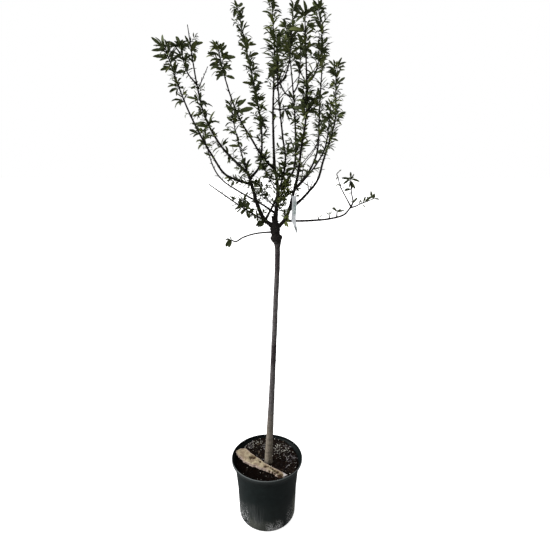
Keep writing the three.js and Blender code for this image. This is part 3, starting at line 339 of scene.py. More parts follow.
# Side branches within a mass, named after the shoot that carries them
FORKS = [
    Shoot("left_main", "left_main", (.0024, .0011), 0, [(0.3, 1, .012, 1.3)],
          [(-.244, .09, 1.767), (-.275, .08, 1.808), (-.291, .065, 1.881)], droop=1.7),
    Shoot("left_main", "left_main", (.0014, .001), 0, [],
          [(-.241, .088, 1.75), (-.206, .11, 1.831)]),
    Shoot("centre", "centre", (.0026, .0011), 0, [(0.42, 1, .012, 0.9)],
          [(.029, .058, 1.753), (.064, .08, 1.786), (.084, .105, 1.845), (.098, .15, 2.022)],
          tints="deep"),
    Shoot("centre", "centre", (.002, .0011), 0, [(0.25, 1, .013, 1)],
          [(.028, .052, 1.684), (.056, .04, 1.681), (.086, .03, 1.684), (.124, .02, 1.693)],
          tints="deep"),
    Shoot("centre_right", "centre_right", (.002, .0011), 0, [(0.6, 1, .012, 1)],
          [(.103, .172, 1.732), (.069, .165, 1.755), (.041, .15, 1.827)], tints="deep"),
    Shoot("centre_right", "centre_right", (.0024, .0011), 0, [(0.46, 1, .013, 1)],
          [(.103, .178, 1.751), (.119, .19, 1.78), (.132, .215, 1.907)], tints="deep"),
    Shoot("right_inner", "right_inner", (.002, .0011), 0, [(0.3, 1, .012, 1.2)],
          [(.133, -.115, 1.74), (.155, -.12, 1.762), (.174, -.128, 1.827)], tints="olive"),
    Shoot("right_inner", "right_inner", (.0018, .0011), 0, [(0.3, 1, .008, 1.2)],
          [(.136, -.085, 1.66), (.150, -.092, 1.675), (.166, -.098, 1.702)], leaf=0.75, tints="olive"),
    Shoot("centre_right", "centre_right", (.0013, .0009), 0, [],
          [(.105, .155, 1.70), (.092, .14, 1.728), (.063, .125, 1.754), (.046, .11, 1.79),
           (.042, .1, 1.834)]),
    Shoot("centre", "centre", (.0012, .0008), 0, [],
          [(.029, .058, 1.745), (.045, .065, 1.76), (.06, .05, 1.788), (.076, .035, 1.819)]),
    Shoot("centre", "centre", (.0013, .0008), 0, [],
          [(.028, .055, 1.695), (.061, .06, 1.73), (.088, .05, 1.755), (.117, .04, 1.788)]),
    Shoot("right_inner", "right_inner", (.0013, .0009), 0, [],
          [(.136, -.09, 1.675), (.122, -.105, 1.715), (.129, -.1, 1.744), (.148, -.1, 1.77),
           (.164, -.11, 1.795)]),
    Shoot("right_inner", "right_inner", (.0011, .0008), 0, [],
          [(.134, -.107, 1.72), (.127, -.1, 1.75), (.116, -.09, 1.778), (.109, -.085, 1.809)]),
    Shoot("right_inner", "right_inner", (.0014, .0009), 0, [],
          [(.112, .008, 1.44), (.116, .002, 1.48), (.137, -.005, 1.507), (.174, -.03, 1.557),
           (.183, -.05, 1.59)]),
    Shoot("right_tall", "right_tall", (.0013, .0008), 0, [],
          [(.13, .045, 1.432), (.14, .035, 1.495), (.164, .03, 1.527), (.197, .05, 1.583)]),
    Shoot("right_outer", "right_outer", (.0014, .001), 0, [], [(.158, .028, 1.399), (.15, .01, 1.436)]),
    Shoot("right_outer", "right_outer", (.0013, .0009), 0, [], [(.158, .028, 1.399), (.173, .04, 1.436)]),
    Shoot("mid_left_tall", "mid_left_tall", (.0013, .0008), 0, [],
          [(-.016, .1, 1.622), (-.018, .07, 1.624), (0, .05, 1.626), (.012, .01, 1.612)]),
    Shoot("inner_twig", "centre_limb", (.0014, .0009), 0, [(0.6, 1, .012, 1)],
          [(.042, .025, 1.40), (.031, .02, 1.415), (.006, -.01, 1.459), (-.009, -.03, 1.493)], leaf=0.6),
    Shoot("low_twig", "left_limb", (.0013, .0009), 0, [(0.6, 1, .010, 0.8)],
          [(-.029, .002, 1.352), (-.016, -.01, 1.384), (.009, -.02, 1.418)], leaf=0.5),
    Shoot("low_twig", "centre_limb", (.0013, .0009), 0, [(0.5, 1, .012, 0.8)],
          [(.039, .02, 1.34), (.029, .02, 1.348), (-.006, .01, 1.376), (-.023, 0, 1.393)], leaf=0.5),
    Shoot("left_bare", "left_bare", (.0015, .001), 0, [(0.3, 1, .014, 0.6)],
          [(-.078, -.014, 1.349), (-.08, -.018, 1.362), (-.078, -.022, 1.373)], leaf=0.7, tints="deep"),
    Shoot("centre_spray", "centre_limb", (.0016, .0011), 0, [(0.25, 1, .007, 1.4)],
          [(.042, .022, 1.368), (.058, .004, 1.381), (.078, -.008, 1.396)], leaf=0.7, tints="young"),
    Shoot("centre_spray", "centre_limb", (.0015, .001), 0, [(0.3, 1, .007, 1.2)],
          [(.04, .021, 1.343), (.052, .008, 1.352), (.066, 0, 1.362)], leaf=0.6, tints="olive"),
    Shoot("centre_spray", "centre_limb", (.0015, .001), 0, [(0.3, 1, .008, 1.2)],
          [(.044, .025, 1.40), (.064, .012, 1.415), (.086, .002, 1.432)], leaf=0.7, tints="olive"),
]
# Share of each leaf colour (deep, mid, olive, young) in the sprays of a shoot
TINTS = {
    "deep": (0.70, 0.25, 0.05, 0.00),
    "mixed": (0.50, 0.35, 0.12, 0.03),
    "olive": (0.35, 0.25, 0.32, 0.08),
    "young": (0.05, 0.20, 0.35, 0.40),
}

# Dried mud on the pot's wall: the strength of each kind by share of a turn, then by height
POT_ZONES = {
    "speckles": ([(0.0, 0.6), (0.27, 1.0), (0.375, 1.0), (0.405, 0.0), (0.61, 0.0), (0.63, 0.7), (0.75, 0.7)],
                 [(0.0, 1.0), (0.055, 1.0), (0.085, 0.55), (0.125, 0.0)]),
    "streaks": ([(0.37, 0.0), (0.39, 1.0), (0.44, 1.0), (0.48, 0.4), (0.52, 0.0)],
                [(0.03, 0.2), (0.06, 1.0), (0.10, 0.8), (0.15, 0.0)]),
    "film": ([(0.0, 0.4), (0.22, 0.3), (0.27, 0.0), (0.38, 0.0), (0.405, 0.9), (0.43, 0.9), (0.50, 0.5),
              (0.58, 0.35), (0.61, 0.0), (0.66, 0.12), (0.75, 0.25)],
             [(0.0, 0.3), (0.016, 0.8), (0.045, 0.8), (0.080, 0.0)]),
    "band": ([(0.0, 0.3), (0.30, 0.0), (0.655, 0.0), (0.68, 1.0), (0.75, 1.0), (0.85, 0.3)],
             [(0.0, 0.6), (0.05, 1.0), (0.11, 1.0), (0.15, 0.0)]),
    "smears": ([(0.49, 0.0), (0.515, 1.0), (0.575, 1.0), (0.60, 0.0)],
               [(0.006, 0.0), (0.014, 1.0), (0.038, 1.0), (0.058, 0.0)]),
}
# Loose bits on the soil, by the name of their count: the piece, least and greatest half sizes, how
# high they lie as a share of their thickness, how favoured a place off the heaps is, the heaps as
# (share, middle, width, depth), and the finishes as (name, dark colour, light colour)
STREWN = {
    "grains": ("pale_grains", [(0.0012, 0.0042), (0.0010, 0.0030), (0.0007, 0.0022)], 0.25, 0.06,
               [(1.0, (0.055, 0.072), 0.032, 0.040), (0.8, (-0.060, 0.105), 0.055, 0.032)], []),
    "chips": ("bark_chips", [(0.0015, 0.006), (0.001, 0.0035), (0.0005, 0.0018)], 0.6, 1.0, [],
              [("dark_chip", (0.0045, 0.0032, 0.0032), (0.022, 0.016, 0.014)),
               ("tan_chip", (0.05, 0.036, 0.026), (0.13, 0.10, 0.075))]),
    "shards": ("pale_shards", [(0.003, 0.010), (0.0004, 0.0010), (0.0003, 0.0006)], 3.0, 0.03,
               [(1.0, (0.100, 0.025), 0.030, 0.035), (0.8, (-0.065, 0.085), 0.035, 0.030)],
               [("shard", (0.12, 0.10, 0.105), (0.56, 0.52, 0.54))]),
    "fibres": ("fibres", [(0.004, 0.013), (0.0002, 0.0004), (0.0002, 0.0004)], 4.0, 1.0, [],
               [("fibre", (0.02, 0.013, 0.009), (0.10, 0.075, 0.055))]),
}
# Share of the bark chips that have the first of their two finishes
FIRST_TONE = 0.95
# Colour of the dull ones among the pale grains
DULL_GRAIN = (0.05, 0.042, 0.034)

# Height on the right limb where the tag hangs
TAG_HANG = 1.380

SUN_PLACE = Vector((-1.35, -0.3, 0.95))

# How much of its light the floor throws back on the plant
FLOOR_BOUNCE = 0.2
# How much the floor glows towards the camera, which hides the pot's shadow, and towards the plant
FLOOR_GLOW, FLOOR_FILL = 0.85, 0.18

# How strongly the tag's film glows: painted light that stands in for light from behind coming through it
TAG_GLOW = 0.15

# Camera of the photograph
CAMERA_PLACE = (0.034, -1.567, 1.521)
CAMERA_PITCH = math.radians(15.39)
CAMERA_LENS = 28.145
SENSOR = 36.0


def length_prop(name, text, value, low, high):
    return FloatProperty(name=name, description=text, default=value, min=low, max=high, unit="LENGTH")


def colour_prop(name, text, value):
    return FloatVectorProperty(name=name, description=text, default=value, min=0, max=1, size=3,
                               subtype="COLOR")


class AlmondPot(bpy.types.PropertyGroup):
    plastic: colour_prop("Plastic", "Colour of the clean plastic", (0.0102, 0.0146, 0.0146))
    dust: colour_prop("Dust", "Colour of the dry film on the lower wall", (0.120, 0.124, 0.106))
    splash: colour_prop("Splashes", "Colour of the dried splashes", (0.58, 0.58, 0.58))
    # Colour of the painted highlight along the lip's top edge
    scuff: colour_prop("Lip highlight", "Colour of the lip's upper edge", (0.16, 0.175, 0.175))
    edge: length_prop("Edge rounding", "Rounding of the lip's edges", 0.0012, 0.0002, 0.003)


class AlmondSoil(bpy.types.PropertyGroup):
    earth: colour_prop("Earth", "Colour of the potting mix", (0.0080, 0.0043, 0.0030))
    grain: colour_prop("Pale grains", "Colour of the perlite", (0.78, 0.76, 0.68))
    grains: IntProperty(name="Pale grains", description="How many lie on top", default=280, min=0)
    chips: IntProperty(name="Bark chips", description="How many lie on top", default=650, min=0)
    fibres: IntProperty(name="Fibres", description="How many lie on top", default=260, min=0)
    shards: IntProperty(name="Pale shards", description="How many lie on top", default=50, min=0)
    lump: length_prop("Lump height", "Height of the soil's lumps", 0.0022, 0, 0.005)


class AlmondStrip(bpy.types.PropertyGroup):
    wood: colour_prop("Wood", "Colour of the dry wood", (0.40, 0.30, 0.205))
    yellow: colour_prop("Yellow patches", "Colour of its paler patches", (0.68, 0.58, 0.38))
    rosy: colour_prop("Rosy edges", "Colour of its bare edges", (0.56, 0.44, 0.40))
    moss: colour_prop("Moss", "Colour round its hollows", (0.13, 0.105, 0.045))
    stain: colour_prop("Stain", "Colour of its dark hollows", (0.050, 0.024, 0.013))
    tip: colour_prop("Tip", "Colour of its weathered tip", (0.62, 0.58, 0.58))
    voxel: length_prop("Detail", "Size of the finest detail", 0.0011, 0.0006, 0.004)


class AlmondBark(bpy.types.PropertyGroup):
    foot: colour_prop("Old bark", "Colour of the trunk's foot", (0.34, 0.295, 0.23))
    middle: colour_prop("Grey bark", "Colour of the trunk's middle", (0.166, 0.154, 0.154))
    plum: colour_prop("Dark stretches", "Colour of its darker stretches", (0.060, 0.046, 0.050))
    top: colour_prop("Young bark", "Colour of the graft knob", (0.0125, 0.0104, 0.0092))
    thin: colour_prop("Shoots", "Colour of the limbs and the shoots", (0.0175, 0.0150, 0.0130))
    relief: length_prop("Relief", "Depth of the bark's furrows", 0.0005, 0, 0.002)


class AlmondLeaves(bpy.types.PropertyGroup):
    per_spray: IntProperty(name="Leaves in a spray", description="Beside its first one", default=6,
                           min=0, max=12)
    slenderness: FloatProperty(name="Slenderness", description="Length over width", default=4.2,
                               min=1.5, max=10)
    arch: FloatProperty(name="Arch", description="How far a leaf bends down", default=1.1,
                        min=0, max=2, subtype="ANGLE")
    deep: colour_prop("Deep green", "Colour of the oldest leaves", (0.070, 0.086, 0.034))
    mid: colour_prop("Green", "Colour of common leaves", (0.092, 0.115, 0.040))
    olive: colour_prop("Olive", "Colour of sunlit leaves", (0.126, 0.146, 0.044))
    young: colour_prop("Young green", "Colour of the youngest leaves", (0.175, 0.208, 0.055))


class AlmondTag(bpy.types.PropertyGroup):
    film: colour_prop("Film", "Colour of the tag", (0.94, 0.97, 1.0))
    smudge: colour_prop("Smudge", "Colour of its faded middle", (0.36, 0.46, 0.44))
    width: length_prop("Width", "Width of its blade", 0.0165, 0.005, 0.03)


class AlmondStage(bpy.types.PropertyGroup):
    floor: colour_prop("Floor", "Colour of the floor", (0.98, 0.98, 0.98))
    sky: FloatProperty(name="Sky", description="Strength of the light all round", default=0.37, min=0)
    sun: FloatProperty(name="Sun", description="Strength of the soft sun", default=3.3, min=0)
    softness: FloatProperty(name="Softness", description="Angle that the sun fills", default=1.0,
                            min=0, max=3, subtype="ANGLE")


GROUPS = {"almond_pot": AlmondPot, "almond_soil": AlmondSoil, "almond_strip": AlmondStrip,
          "almond_bark": AlmondBark, "almond_leaves": AlmondLeaves, "almond_tag": AlmondTag,
          "almond_stage": AlmondStage}


# Curves and random numbers


def sown(name):
    """Random numbers from 0 to 1 that are the same each time for one name."""
    whole = 0xFFFFFFFF
    state = 7
    for letter in name:
        state = (state * 31 + ord(letter)) & whole

    def draw():
        nonlocal state
        state = (state + 0x6D2B79F5) & whole
        mixed = ((state ^ (state >> 15)) * (state | 1)) & whole
        mixed ^= (mixed + (mixed ^ (mixed >> 7)) * (mixed | 61)) & whole
        return ((mixed ^ (mixed >> 14)) & whole) / 4294967296

    return draw


def unit(v):
    v = np.asarray(v, float)
    return v / np.maximum(np.linalg.norm(v, axis=-1, keepdims=True), 1e-12)


class Line:
    """A smooth curve through points, read by the share of its length."""

    def __init__(self, points):
        p = [np.array(point, float) for point in points]
        p = [2 * p[0] - p[1], *p, 2 * p[-1] - p[-2]]
        share = np.linspace(0, 1, CURVE_STEPS, endpoint=False)[:, None]
        spots = []
        for a, b, c, d in zip(p, p[1:], p[2:], p[3:]):
            da, db, dc = (np.linalg.norm(v) ** 0.5 for v in (b - a, c - b, d - c))
            t1 = ((b - a) / da - (c - a) / (da + db) + (c - b) / db) * db
            t2 = ((c - b) / db - (d - b) / (db + dc) + (d - c) / dc) * db
            spots.append(b + t1 * share + (3 * (c - b) - 2 * t1 - t2) * share**2
                         + (2 * (b - c) + t1 + t2) * share**3)
        self.spots = np.vstack([*spots, p[-2][None]])
        self.run = np.concatenate([[0], np.cumsum(np.linalg.norm(np.diff(self.spots, axis=0), axis=1))])
        self.length = self.run[-1]

    def at(self, part):
        where = np.clip(part, 0, 1) * self.length
        return np.stack([np.interp(where, self.run, self.spots[:, k]) for k in range(3)], -1)

    def heading(self, part):
        share = HEADING_STEP / self.length
        part = np.asarray(part, float)
        return unit(self.at(np.minimum(part + share, 1)) - self.at(np.maximum(part - share, 0)))

    def marks(self):
        """Points along the whole line, SPACE_STEP apart, for the test of own space."""
        return self.at(np.linspace(0, 1, max(4, round(self.length / SPACE_STEP)) + 1))


def around(v, axis, angle):
    """v turned about a unit axis."""
    v, axis = np.asarray(v, float), np.asarray(axis, float)
    turned = v * math.cos(angle) + np.cross(axis, v) * math.sin(angle)
    return turned + axis * (v @ axis) * (1 - math.cos(angle))


def outwards(along, angle, rise):
    """The direction at an angle round a twig, leaning towards its tip."""
    side = np.cross([0, 0, 1], along)
    if np.linalg.norm(side) < 0.05:
        side = np.array([1.0, 0, 0])
    side = around(unit(side), along, angle)
    return side * math.cos(rise) + np.asarray(along) * math.sin(rise)


def limb_radius(shoot, part):
    foot, tip = shoot.radius
    return TWIG_BARK + tip + (foot - tip) * (1 - part) ** 0.8 + 0.25 * foot * (1 - part) ** 12


class Tree:
    """The centre lines of all wood."""

    def __init__(self):
        self.trunk = Line(TRUNK_WAY)
        self.lines = {"trunk": self.trunk}
        for shoot in SHOOTS:
            self.lines[shoot.name] = self.rooted(shoot)
        self.forks = [(fork, self.rooted(fork)) for fork in FORKS]

    def rooted(self, shoot):
        """A shoot's line, its first point put on the line of the limb that it springs from."""
        host = self.lines[shoot.host].at(np.linspace(0, 1, 400))
        nearest = host[np.argmin(np.linalg.norm(host - shoot.way[0], axis=1))]
        return Line([nearest, *shoot.way[1:]])

    def all_wood(self):
        """Each shoot, then each side branch, with its line."""
        return [*[(shoot, self.lines[shoot.name]) for shoot in SHOOTS], *self.forks]

    def space(self):
        """Bare wood as (points, reach) and leafy wood as (owner, points)."""
        bare = [(self.trunk.at(np.linspace(0, 1, 90)), TRUNK_REACH)]
        leafy = []
        for shoot in SHOOTS:
            points = self.lines[shoot.name].marks()
            split = round(shoot.bare * (len(points) - 1))
            if split > 0:
                bare.append((points[: split + 1], shoot.radius[0]))
            if shoot.bare < 1:
                leafy.append((shoot.name, points[split:]))
        return bare, leafy + [(fork.name, line.marks()) for fork, line in self.forks]


TREE = Tree()


def gap_to(points, line):
    """Distance of each point from a broken line."""
    a, b = line[:-1], line[1:]
    span = b - a
    reach = np.maximum((span * span).sum(1), 1e-12)
    best = np.full(len(points), np.inf)
    for start, way, square in zip(a, span, reach):
        along = np.clip(((points - start) @ way) / square, 0, 1)
        best = np.minimum(best, np.linalg.norm(points - start - along[:, None] * way, axis=1))
    return best


def fractal(p, scale, seed=0.0, octaves=3):
    """Noise about 0 at a point, its first size given by scale."""
    return noise.fractal(Vector(p) * scale + Vector((seed, seed * 1.7, 0)), 0.6, 2.1, octaves,
                         noise_basis="PERLIN_ORIGINAL")


# Meshes


def loose(name, mesh):
    """An object in the scene."""
    made = bpy.data.objects.new(name, mesh)
    bpy.context.scene.collection.objects.link(made)
    return made


def piece(name, mesh, finishes, slot, *nodes):
    """A finished mesh as a piece that rides on the plant and stands for its nodes."""
    made = loose(name, mesh)
    for finish in finishes:
        mesh.materials.append(finish)
    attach(made, "root")
    if nodes:
        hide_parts(*nodes)


def smoothed(mesh, sharp=None):
    """A mesh that looks smooth but for edges over an angle."""
    mesh.shade_smooth()
    if sharp is not None:
        mesh.set_sharp_from_angle(angle=sharp)
    return mesh


def mesh_of(shape, name, sharp=None):
    bmesh.ops.remove_doubles(shape, verts=shape.verts, dist=1e-6)
    bmesh.ops.recalc_face_normals(shape, faces=shape.faces)
    mesh = bpy.data.meshes.new(name)
    shape.to_mesh(mesh)
    shape.free()
    return smoothed(mesh, sharp)


def settled(thing):
    """The mesh of an object with its modifiers applied, and the object removed."""
    seen = thing.evaluated_get(bpy.context.evaluated_depsgraph_get())
    mesh = bpy.data.meshes.new_from_object(seen)
    mesh.name = thing.name
    old = thing.data
    bpy.data.objects.remove(thing)
    bpy.data.meshes.remove(old)
    return mesh


def spun(rows, steps):
    """A profile of (radius, height) rows turned about the upright axis."""
    shape = bmesh.new()
    verts = [shape.verts.new((radius, 0, height)) for radius, height in rows]
    edges = [shape.edges.new(pair) for pair in zip(verts, verts[1:])]
    bmesh.ops.spin(shape, geom=verts + edges, cent=(0, 0, 0), axis=(0, 0, 1),
                   angle=2 * math.pi, steps=steps, use_merge=True)
    bmesh.ops.remove_doubles(shape, verts=shape.verts, dist=1e-6)
    return shape


def rolled(line, radius_at, parts, sides, relief):
    """Points of a tube round a line, one row for each part, pushed out by relief."""
    side = np.array([1.0, 0, 0])
    rows = []
    turn = np.linspace(0, 2 * math.pi, sides, endpoint=False)
    for centre, way, part in zip(line.at(parts), line.heading(parts), parts):
        side = unit(side - way * (side @ way))
        front = np.cross(way, side)
        out = np.cos(turn)[:, None] * side + np.sin(turn)[:, None] * front
        radius = radius_at(part)
        radius = radius + relief(centre + out * radius)[:, None]
        rows.append(centre + out * radius)
    return np.array(rows)


def add_tube(shape, rows):
    """Adds a tube of rows of points, closed at both ends, made from a rolled-up grid."""
    rings, sides, _ = rows.shape
    made = bmesh.ops.create_grid(shape, x_segments=sides, y_segments=rings - 1, size=1)["verts"]
    for vert in made:
        column = round((vert.co.x + 1) / 2 * sides) % sides
        row = round((vert.co.y + 1) / 2 * (rings - 1))
        vert.co = rows[row, column]
    bmesh.ops.remove_doubles(shape, verts=made, dist=1e-7)
    made = [v for v in made if v.is_valid]
    rims = [e for e in {e for v in made for e in v.link_edges} if e.is_boundary]
    bmesh.ops.holes_fill(shape, edges=rims, sides=sides)


def small_shape(create, **settings):
    """The points and faces of a small shape that a bmesh operator makes."""
    shape = bmesh.new()
    create(shape, **settings)
    points = np.array([v.co for v in shape.verts])
    faces = [[v.index for v in f.verts] for f in shape.faces]
    shape.free()
    return points, faces


def copied(name, copies, faces, finish):
    """One mesh of copies of a shape, each with the number of its finish."""
    many, count, _ = copies.shape
    base = np.arange(many)[:, None] * count
    spread = [spot for face in faces for spot in (base + np.array(face)[None]).tolist()]
    mesh = bpy.data.meshes.new(name)
    mesh.from_pydata(copies.reshape(-1, 3).tolist(), [], spread)
    numbers = np.tile(np.broadcast_to(np.asarray(finish), many), len(faces))
    mesh.polygons.foreach_set("material_index", numbers.astype(np.int32))
    mesh.update()
    return mesh


def paint(mesh, name, values):
    """Gives each point of a mesh a value that its finish can read."""
    mesh.attributes.new(name, "FLOAT", "POINT").data.foreach_set("value", np.asarray(values, float))


# Shader nodes


def shade(colour, share):
    return [c * share for c in colour]


class Nodes:
    """A shader tree to which each method adds a node. A value may be given or come from a socket."""

    def __init__(self, tree):
        self.tree = tree

    def fill(self, socket, value):
        if isinstance(value, bpy.types.NodeSocket):
            self.tree.links.new(value, socket)
        else:
            socket.default_value = (*value, 1) if socket.type == "RGBA" else value

    def node(self, kind, **values):
        """A node with its sockets and settings filled in: sockets by label, settings by name."""
        made = self.tree.nodes.new(kind)
        for key, value in values.items():
            if hasattr(made, key):
                setattr(made, key, value)
            else:
                self.fill(made.inputs[key.replace("_", " ")], value)
        return made

    def maths(self, operation, a, b, clamp=False):
        made = self.node("ShaderNodeMath", operation=operation, use_clamp=clamp)
        self.fill(made.inputs[0], a)
        self.fill(made.inputs[1], b)
        return made.outputs[0]

    def times(self, a, b):
        return self.maths("MULTIPLY", a, b)

    def plus(self, a, b):
        return self.maths("ADD", a, b)

    def minus(self, a, b):
        return self.maths("SUBTRACT", a, b)

    def most(self, a, b):
        return self.maths("MAXIMUM", a, b)

    def vectors(self, operation, a, b):
        made = self.node("ShaderNodeVectorMath", operation=operation)
        self.fill(made.inputs[0], a)
        self.fill(made.inputs[1], b)
        return made.outputs

    def texture(self, place, scale, detail, rough):
        made = self.node("ShaderNodeTexNoise", Vector=place, Scale=scale, Detail=detail, Roughness=rough)
        return made.outputs["Fac"]

    def ramp(self, value, *stops):
        """A colour ramp over (place, colour or grey) stops."""
        made = self.node("ShaderNodeValToRGB")
        self.fill(made.inputs[0], value)
        elements = made.color_ramp.elements
        while len(elements) < len(stops):
            elements.new(0.5)
        for element, (place, colour) in zip(elements, stops):
            element.position = place
            grey = isinstance(colour, (int, float))
            element.color = (colour, colour, colour, 1) if grey else (*colour, 1)
        return made.outputs[0]

    def mix(self, factor, low, high, blend="MIX"):
        made = self.node("ShaderNodeMix", data_type="RGBA", blend_type=blend)
        for label, value in (("Factor", factor), ("A", low), ("B", high)):
            self.fill(next(s for s in made.inputs if s.name == label and s.enabled), value)
        return next(s for s in made.outputs if s.enabled)

    def use(self, group, **values):
        """The outputs of one of the shared groups, which is built at its first use."""
        tree = bpy.data.node_groups.get(group) or SHARED[group]()
        return self.node("ShaderNodeGroup", node_tree=tree, **values).outputs


def new_group(name, inputs, outputs):
    """An empty node group that takes a place and numbers: its nodes, its inputs and its outputs."""
    made = bpy.data.node_groups.new(name, "ShaderNodeTree")
    made.interface.new_socket("Vector", in_out="INPUT", socket_type="NodeSocketVector")
    for label, value in inputs.items():
        socket = made.interface.new_socket(label, in_out="INPUT", socket_type="NodeSocketFloat")
        socket.default_value = value
    for label in outputs:
        made.interface.new_socket(label, in_out="OUTPUT", socket_type="NodeSocketFloat")
    return Nodes(made), made.nodes.new("NodeGroupInput").outputs, made.nodes.new("NodeGroupOutput").inputs


def streaks_group():
    """Noise drawn out along the piece's own Z, as a mask and as a height."""
    numbers = {"Across": 90.0, "Along": 6.0, "Cover": 0.5}
    nodes, given, result = new_group("Streaks", numbers, ["Mask", "Height"])
    scale = nodes.node("ShaderNodeCombineXYZ", X=given["Across"], Y=given["Across"], Z=given["Along"])
    place = nodes.vectors("MULTIPLY", given["Vector"], scale.outputs[0])[0]
    fine = nodes.texture(place, 1.0, 5.0, 0.65)
    raised = nodes.minus(fine, nodes.times(nodes.minus(1.0, given["Cover"]), 0.7))
    nodes.fill(result["Mask"], nodes.maths("MULTIPLY", raised, 5.0, clamp=True))
    nodes.fill(result["Height"], fine)
    return nodes.tree


def blotches_group():
    """Soft patches and fine grains, as two masks."""
    nodes, given, result = new_group("Blotches", {"Patch": 40.0, "Grain": 600.0}, ["Patches", "Grains"])
    for size, mask, detail, rough in (("Patch", "Patches", 4.0, 0.6), ("Grain", "Grains", 2.0, 0.5)):
        found = nodes.texture(given["Vector"], given[size], detail, rough)
        spread = nodes.times(nodes.minus(found, 0.5), 2.6)
        nodes.fill(result[mask], nodes.maths("ADD", spread, 0.5, clamp=True))
    return nodes.tree


SHARED = {"Streaks": streaks_group, "Blotches": blotches_group}


class Finish(Nodes):
    """A material, built up from the piece's own coordinates."""

    def __init__(self, name, **values):
        self.material = bpy.data.materials.new(name)
        self.material.use_nodes = True
        super().__init__(self.material.node_tree)
        self.place = self.node("ShaderNodeTexCoord").outputs["Object"]
        for key, value in values.items():
            self.set(key.replace("_", " "), value)

    def set(self, label, value):
        self.fill(self.tree.nodes["Principled BSDF"].inputs[label], value)

    def axis(self, name):
        return self.node("ShaderNodeSeparateXYZ", Vector=self.place).outputs[name]

    def share_of(self, axis, low, high):
        """How far a place lies from low to high along an axis."""
        return self.maths("DIVIDE", self.minus(self.axis(axis), low), high - low, clamp=True)

    def spots(self, patch, grain, place=None):
        found = self.use("Blotches", Vector=self.place if place is None else place, Patch=patch, Grain=grain)
        return found["Patches"], found["Grains"]

    def painted(self, name):
        """A value that the mesh carries for each of its points."""
        return self.node("ShaderNodeAttribute", attribute_name=name).outputs["Fac"]

    def in_front(self):
        """A mask of the places in front of the strip of wood, where painted shadow darkens the soil and the
        bits on it.
        """
        found = self.vectors("DOT_PRODUCT", self.place, (STRIP_GRAIN.y, -STRIP_GRAIN.x, 0))["Value"]
        return self.ramp(self.times(found, 10.0), (0.45, 0.0), (0.75, 0.7))

    def done(self, colour, height=None, strength=0.0, distance=0.0):
        """The material, with its colour and its relief."""
        self.set("Base Color", colour)
        if height is not None:
            bump = self.node("ShaderNodeBump", Strength=strength, Distance=distance, Height=height)
            self.set("Normal", bump.outputs[0])
        return self.material


# Finishes


def pot_plastic(look):
    """Black plastic, with speckles, streaks and films of dried mud on the lower wall, a painted highlight
    along the lip and painted shade on the inner wall.
    """
    made = Finish("pot_plastic", Specular_IOR_Level=0.08)
    rise = made.maths("DIVIDE", made.axis("Z"), RIM_HEIGHT)
    turn = made.maths("ARCTAN2", made.axis("X"), made.times(made.axis("Y"), -1.0))
    share = made.plus(made.times(turn, 0.5 / math.pi), 0.5)
    patches, grains = made.spots(42.0, 250.0)
    streaks = made.use("Streaks", Vector=made.place, Across=270.0, Along=9.0, Cover=0.40)
    level = made.plus(rise, made.times(made.minus(patches, 0.5), 0.10))
    zones = {}
    for name, (turns, heights) in POT_ZONES.items():
        up_wall = [(height / RIM_HEIGHT, strength) for height, strength in heights]
        zones[name] = made.times(made.ramp(share, *turns), made.ramp(level, *up_wall))
    veil = made.ramp(level, (0.0, 0.06), (0.4, 0.04), (0.6, 0.0))
    speckled = made.times(zones["speckles"], made.ramp(grains, (0.66, 0.0), (0.74, 1.0)))
    smeared = made.times(made.times(zones["smears"], 0.8), made.ramp(grains, (0.42, 0.0), (0.66, 1.0)))
    streaked = made.times(made.times(zones["streaks"], streaks["Mask"]), 0.12)
    pale = made.most(made.most(speckled, smeared), streaked)
    patchy = made.ramp(grains, (0.2, 0.55), (0.6, 1.0))
    filmed = made.times(made.most(zones["film"], zones["band"]), patchy)
    # Painted highlight: the flare grows paler up to the lip, and the lip's top edge takes the pale lip
    # colour.
    edge = made.ramp(rise, (FLARE_FOOT / RIM_HEIGHT, 0.0), (FLARE_TOP / RIM_HEIGHT, 0.12),
                     (0.988, 0.22), (0.9965, 1.0))
    upper = made.mix(patches, shade(look.plastic, 0.8), shade(look.plastic, 1.3))
    clean = made.mix(edge, upper, look.scuff)
    dusty = made.mix(made.most(filmed, veil), clean, look.dust)
    outside = made.mix(pale, dusty, look.splash)
    made.set("Roughness", made.plus(made.times(made.most(pale, filmed), 0.4), 0.5))
    # Painted shade: the inner wall takes darker plastic, without the dust and splashes of the outside.
    return made.done(made.mix(made.painted("inside"), outside, shade(look.plastic, 0.6)),
                     made.plus(grains, pale), 0.2, 0.0006)


def earth(look):
    """Potting mix, with painted shadow that darkens it in front of the strip of wood."""
    made = Finish("earth", Specular_IOR_Level=0.03, Roughness=0.93)
    patches, grains = made.spots(60.0, 900.0)
    dark = made.mix(patches, shade(look.earth, 0.3), shade(look.earth, 2.0))
    crumbled = made.mix(made.ramp(grains, (0.62, 0.0), (0.95, 0.7)), dark, shade(look.earth, 5))
    # Painted shadow: in front of the strip the earth takes a darker colour.
    return made.done(made.mix(made.in_front(), crumbled, shade(look.earth, 0.4)), grains, 0.8, 0.0012)


def pale_grain(look):
    made = Finish("pale_grain", Roughness=0.85)
    patches, _ = made.spots(160.0, 1500.0)
    tone = made.mix(made.ramp(patches, (0.26, 0.0), (0.72, 1.0)), DULL_GRAIN, look.grain)
    # Painted shadow: in front of the strip the grains take the earth's colour.
    return made.done(made.mix(made.in_front(), tone, look.earth))


def chip_finish(name, low, high):
    made = Finish(name, Roughness=0.9, Specular_IOR_Level=0.08)
    patches, _ = made.spots(110.0, 900.0)
    # Painted shadow: in front of the strip the chips, shards and fibres darken.
    return made.done(made.mix(made.in_front(), made.mix(patches, low, high), shade(low, 0.25)))


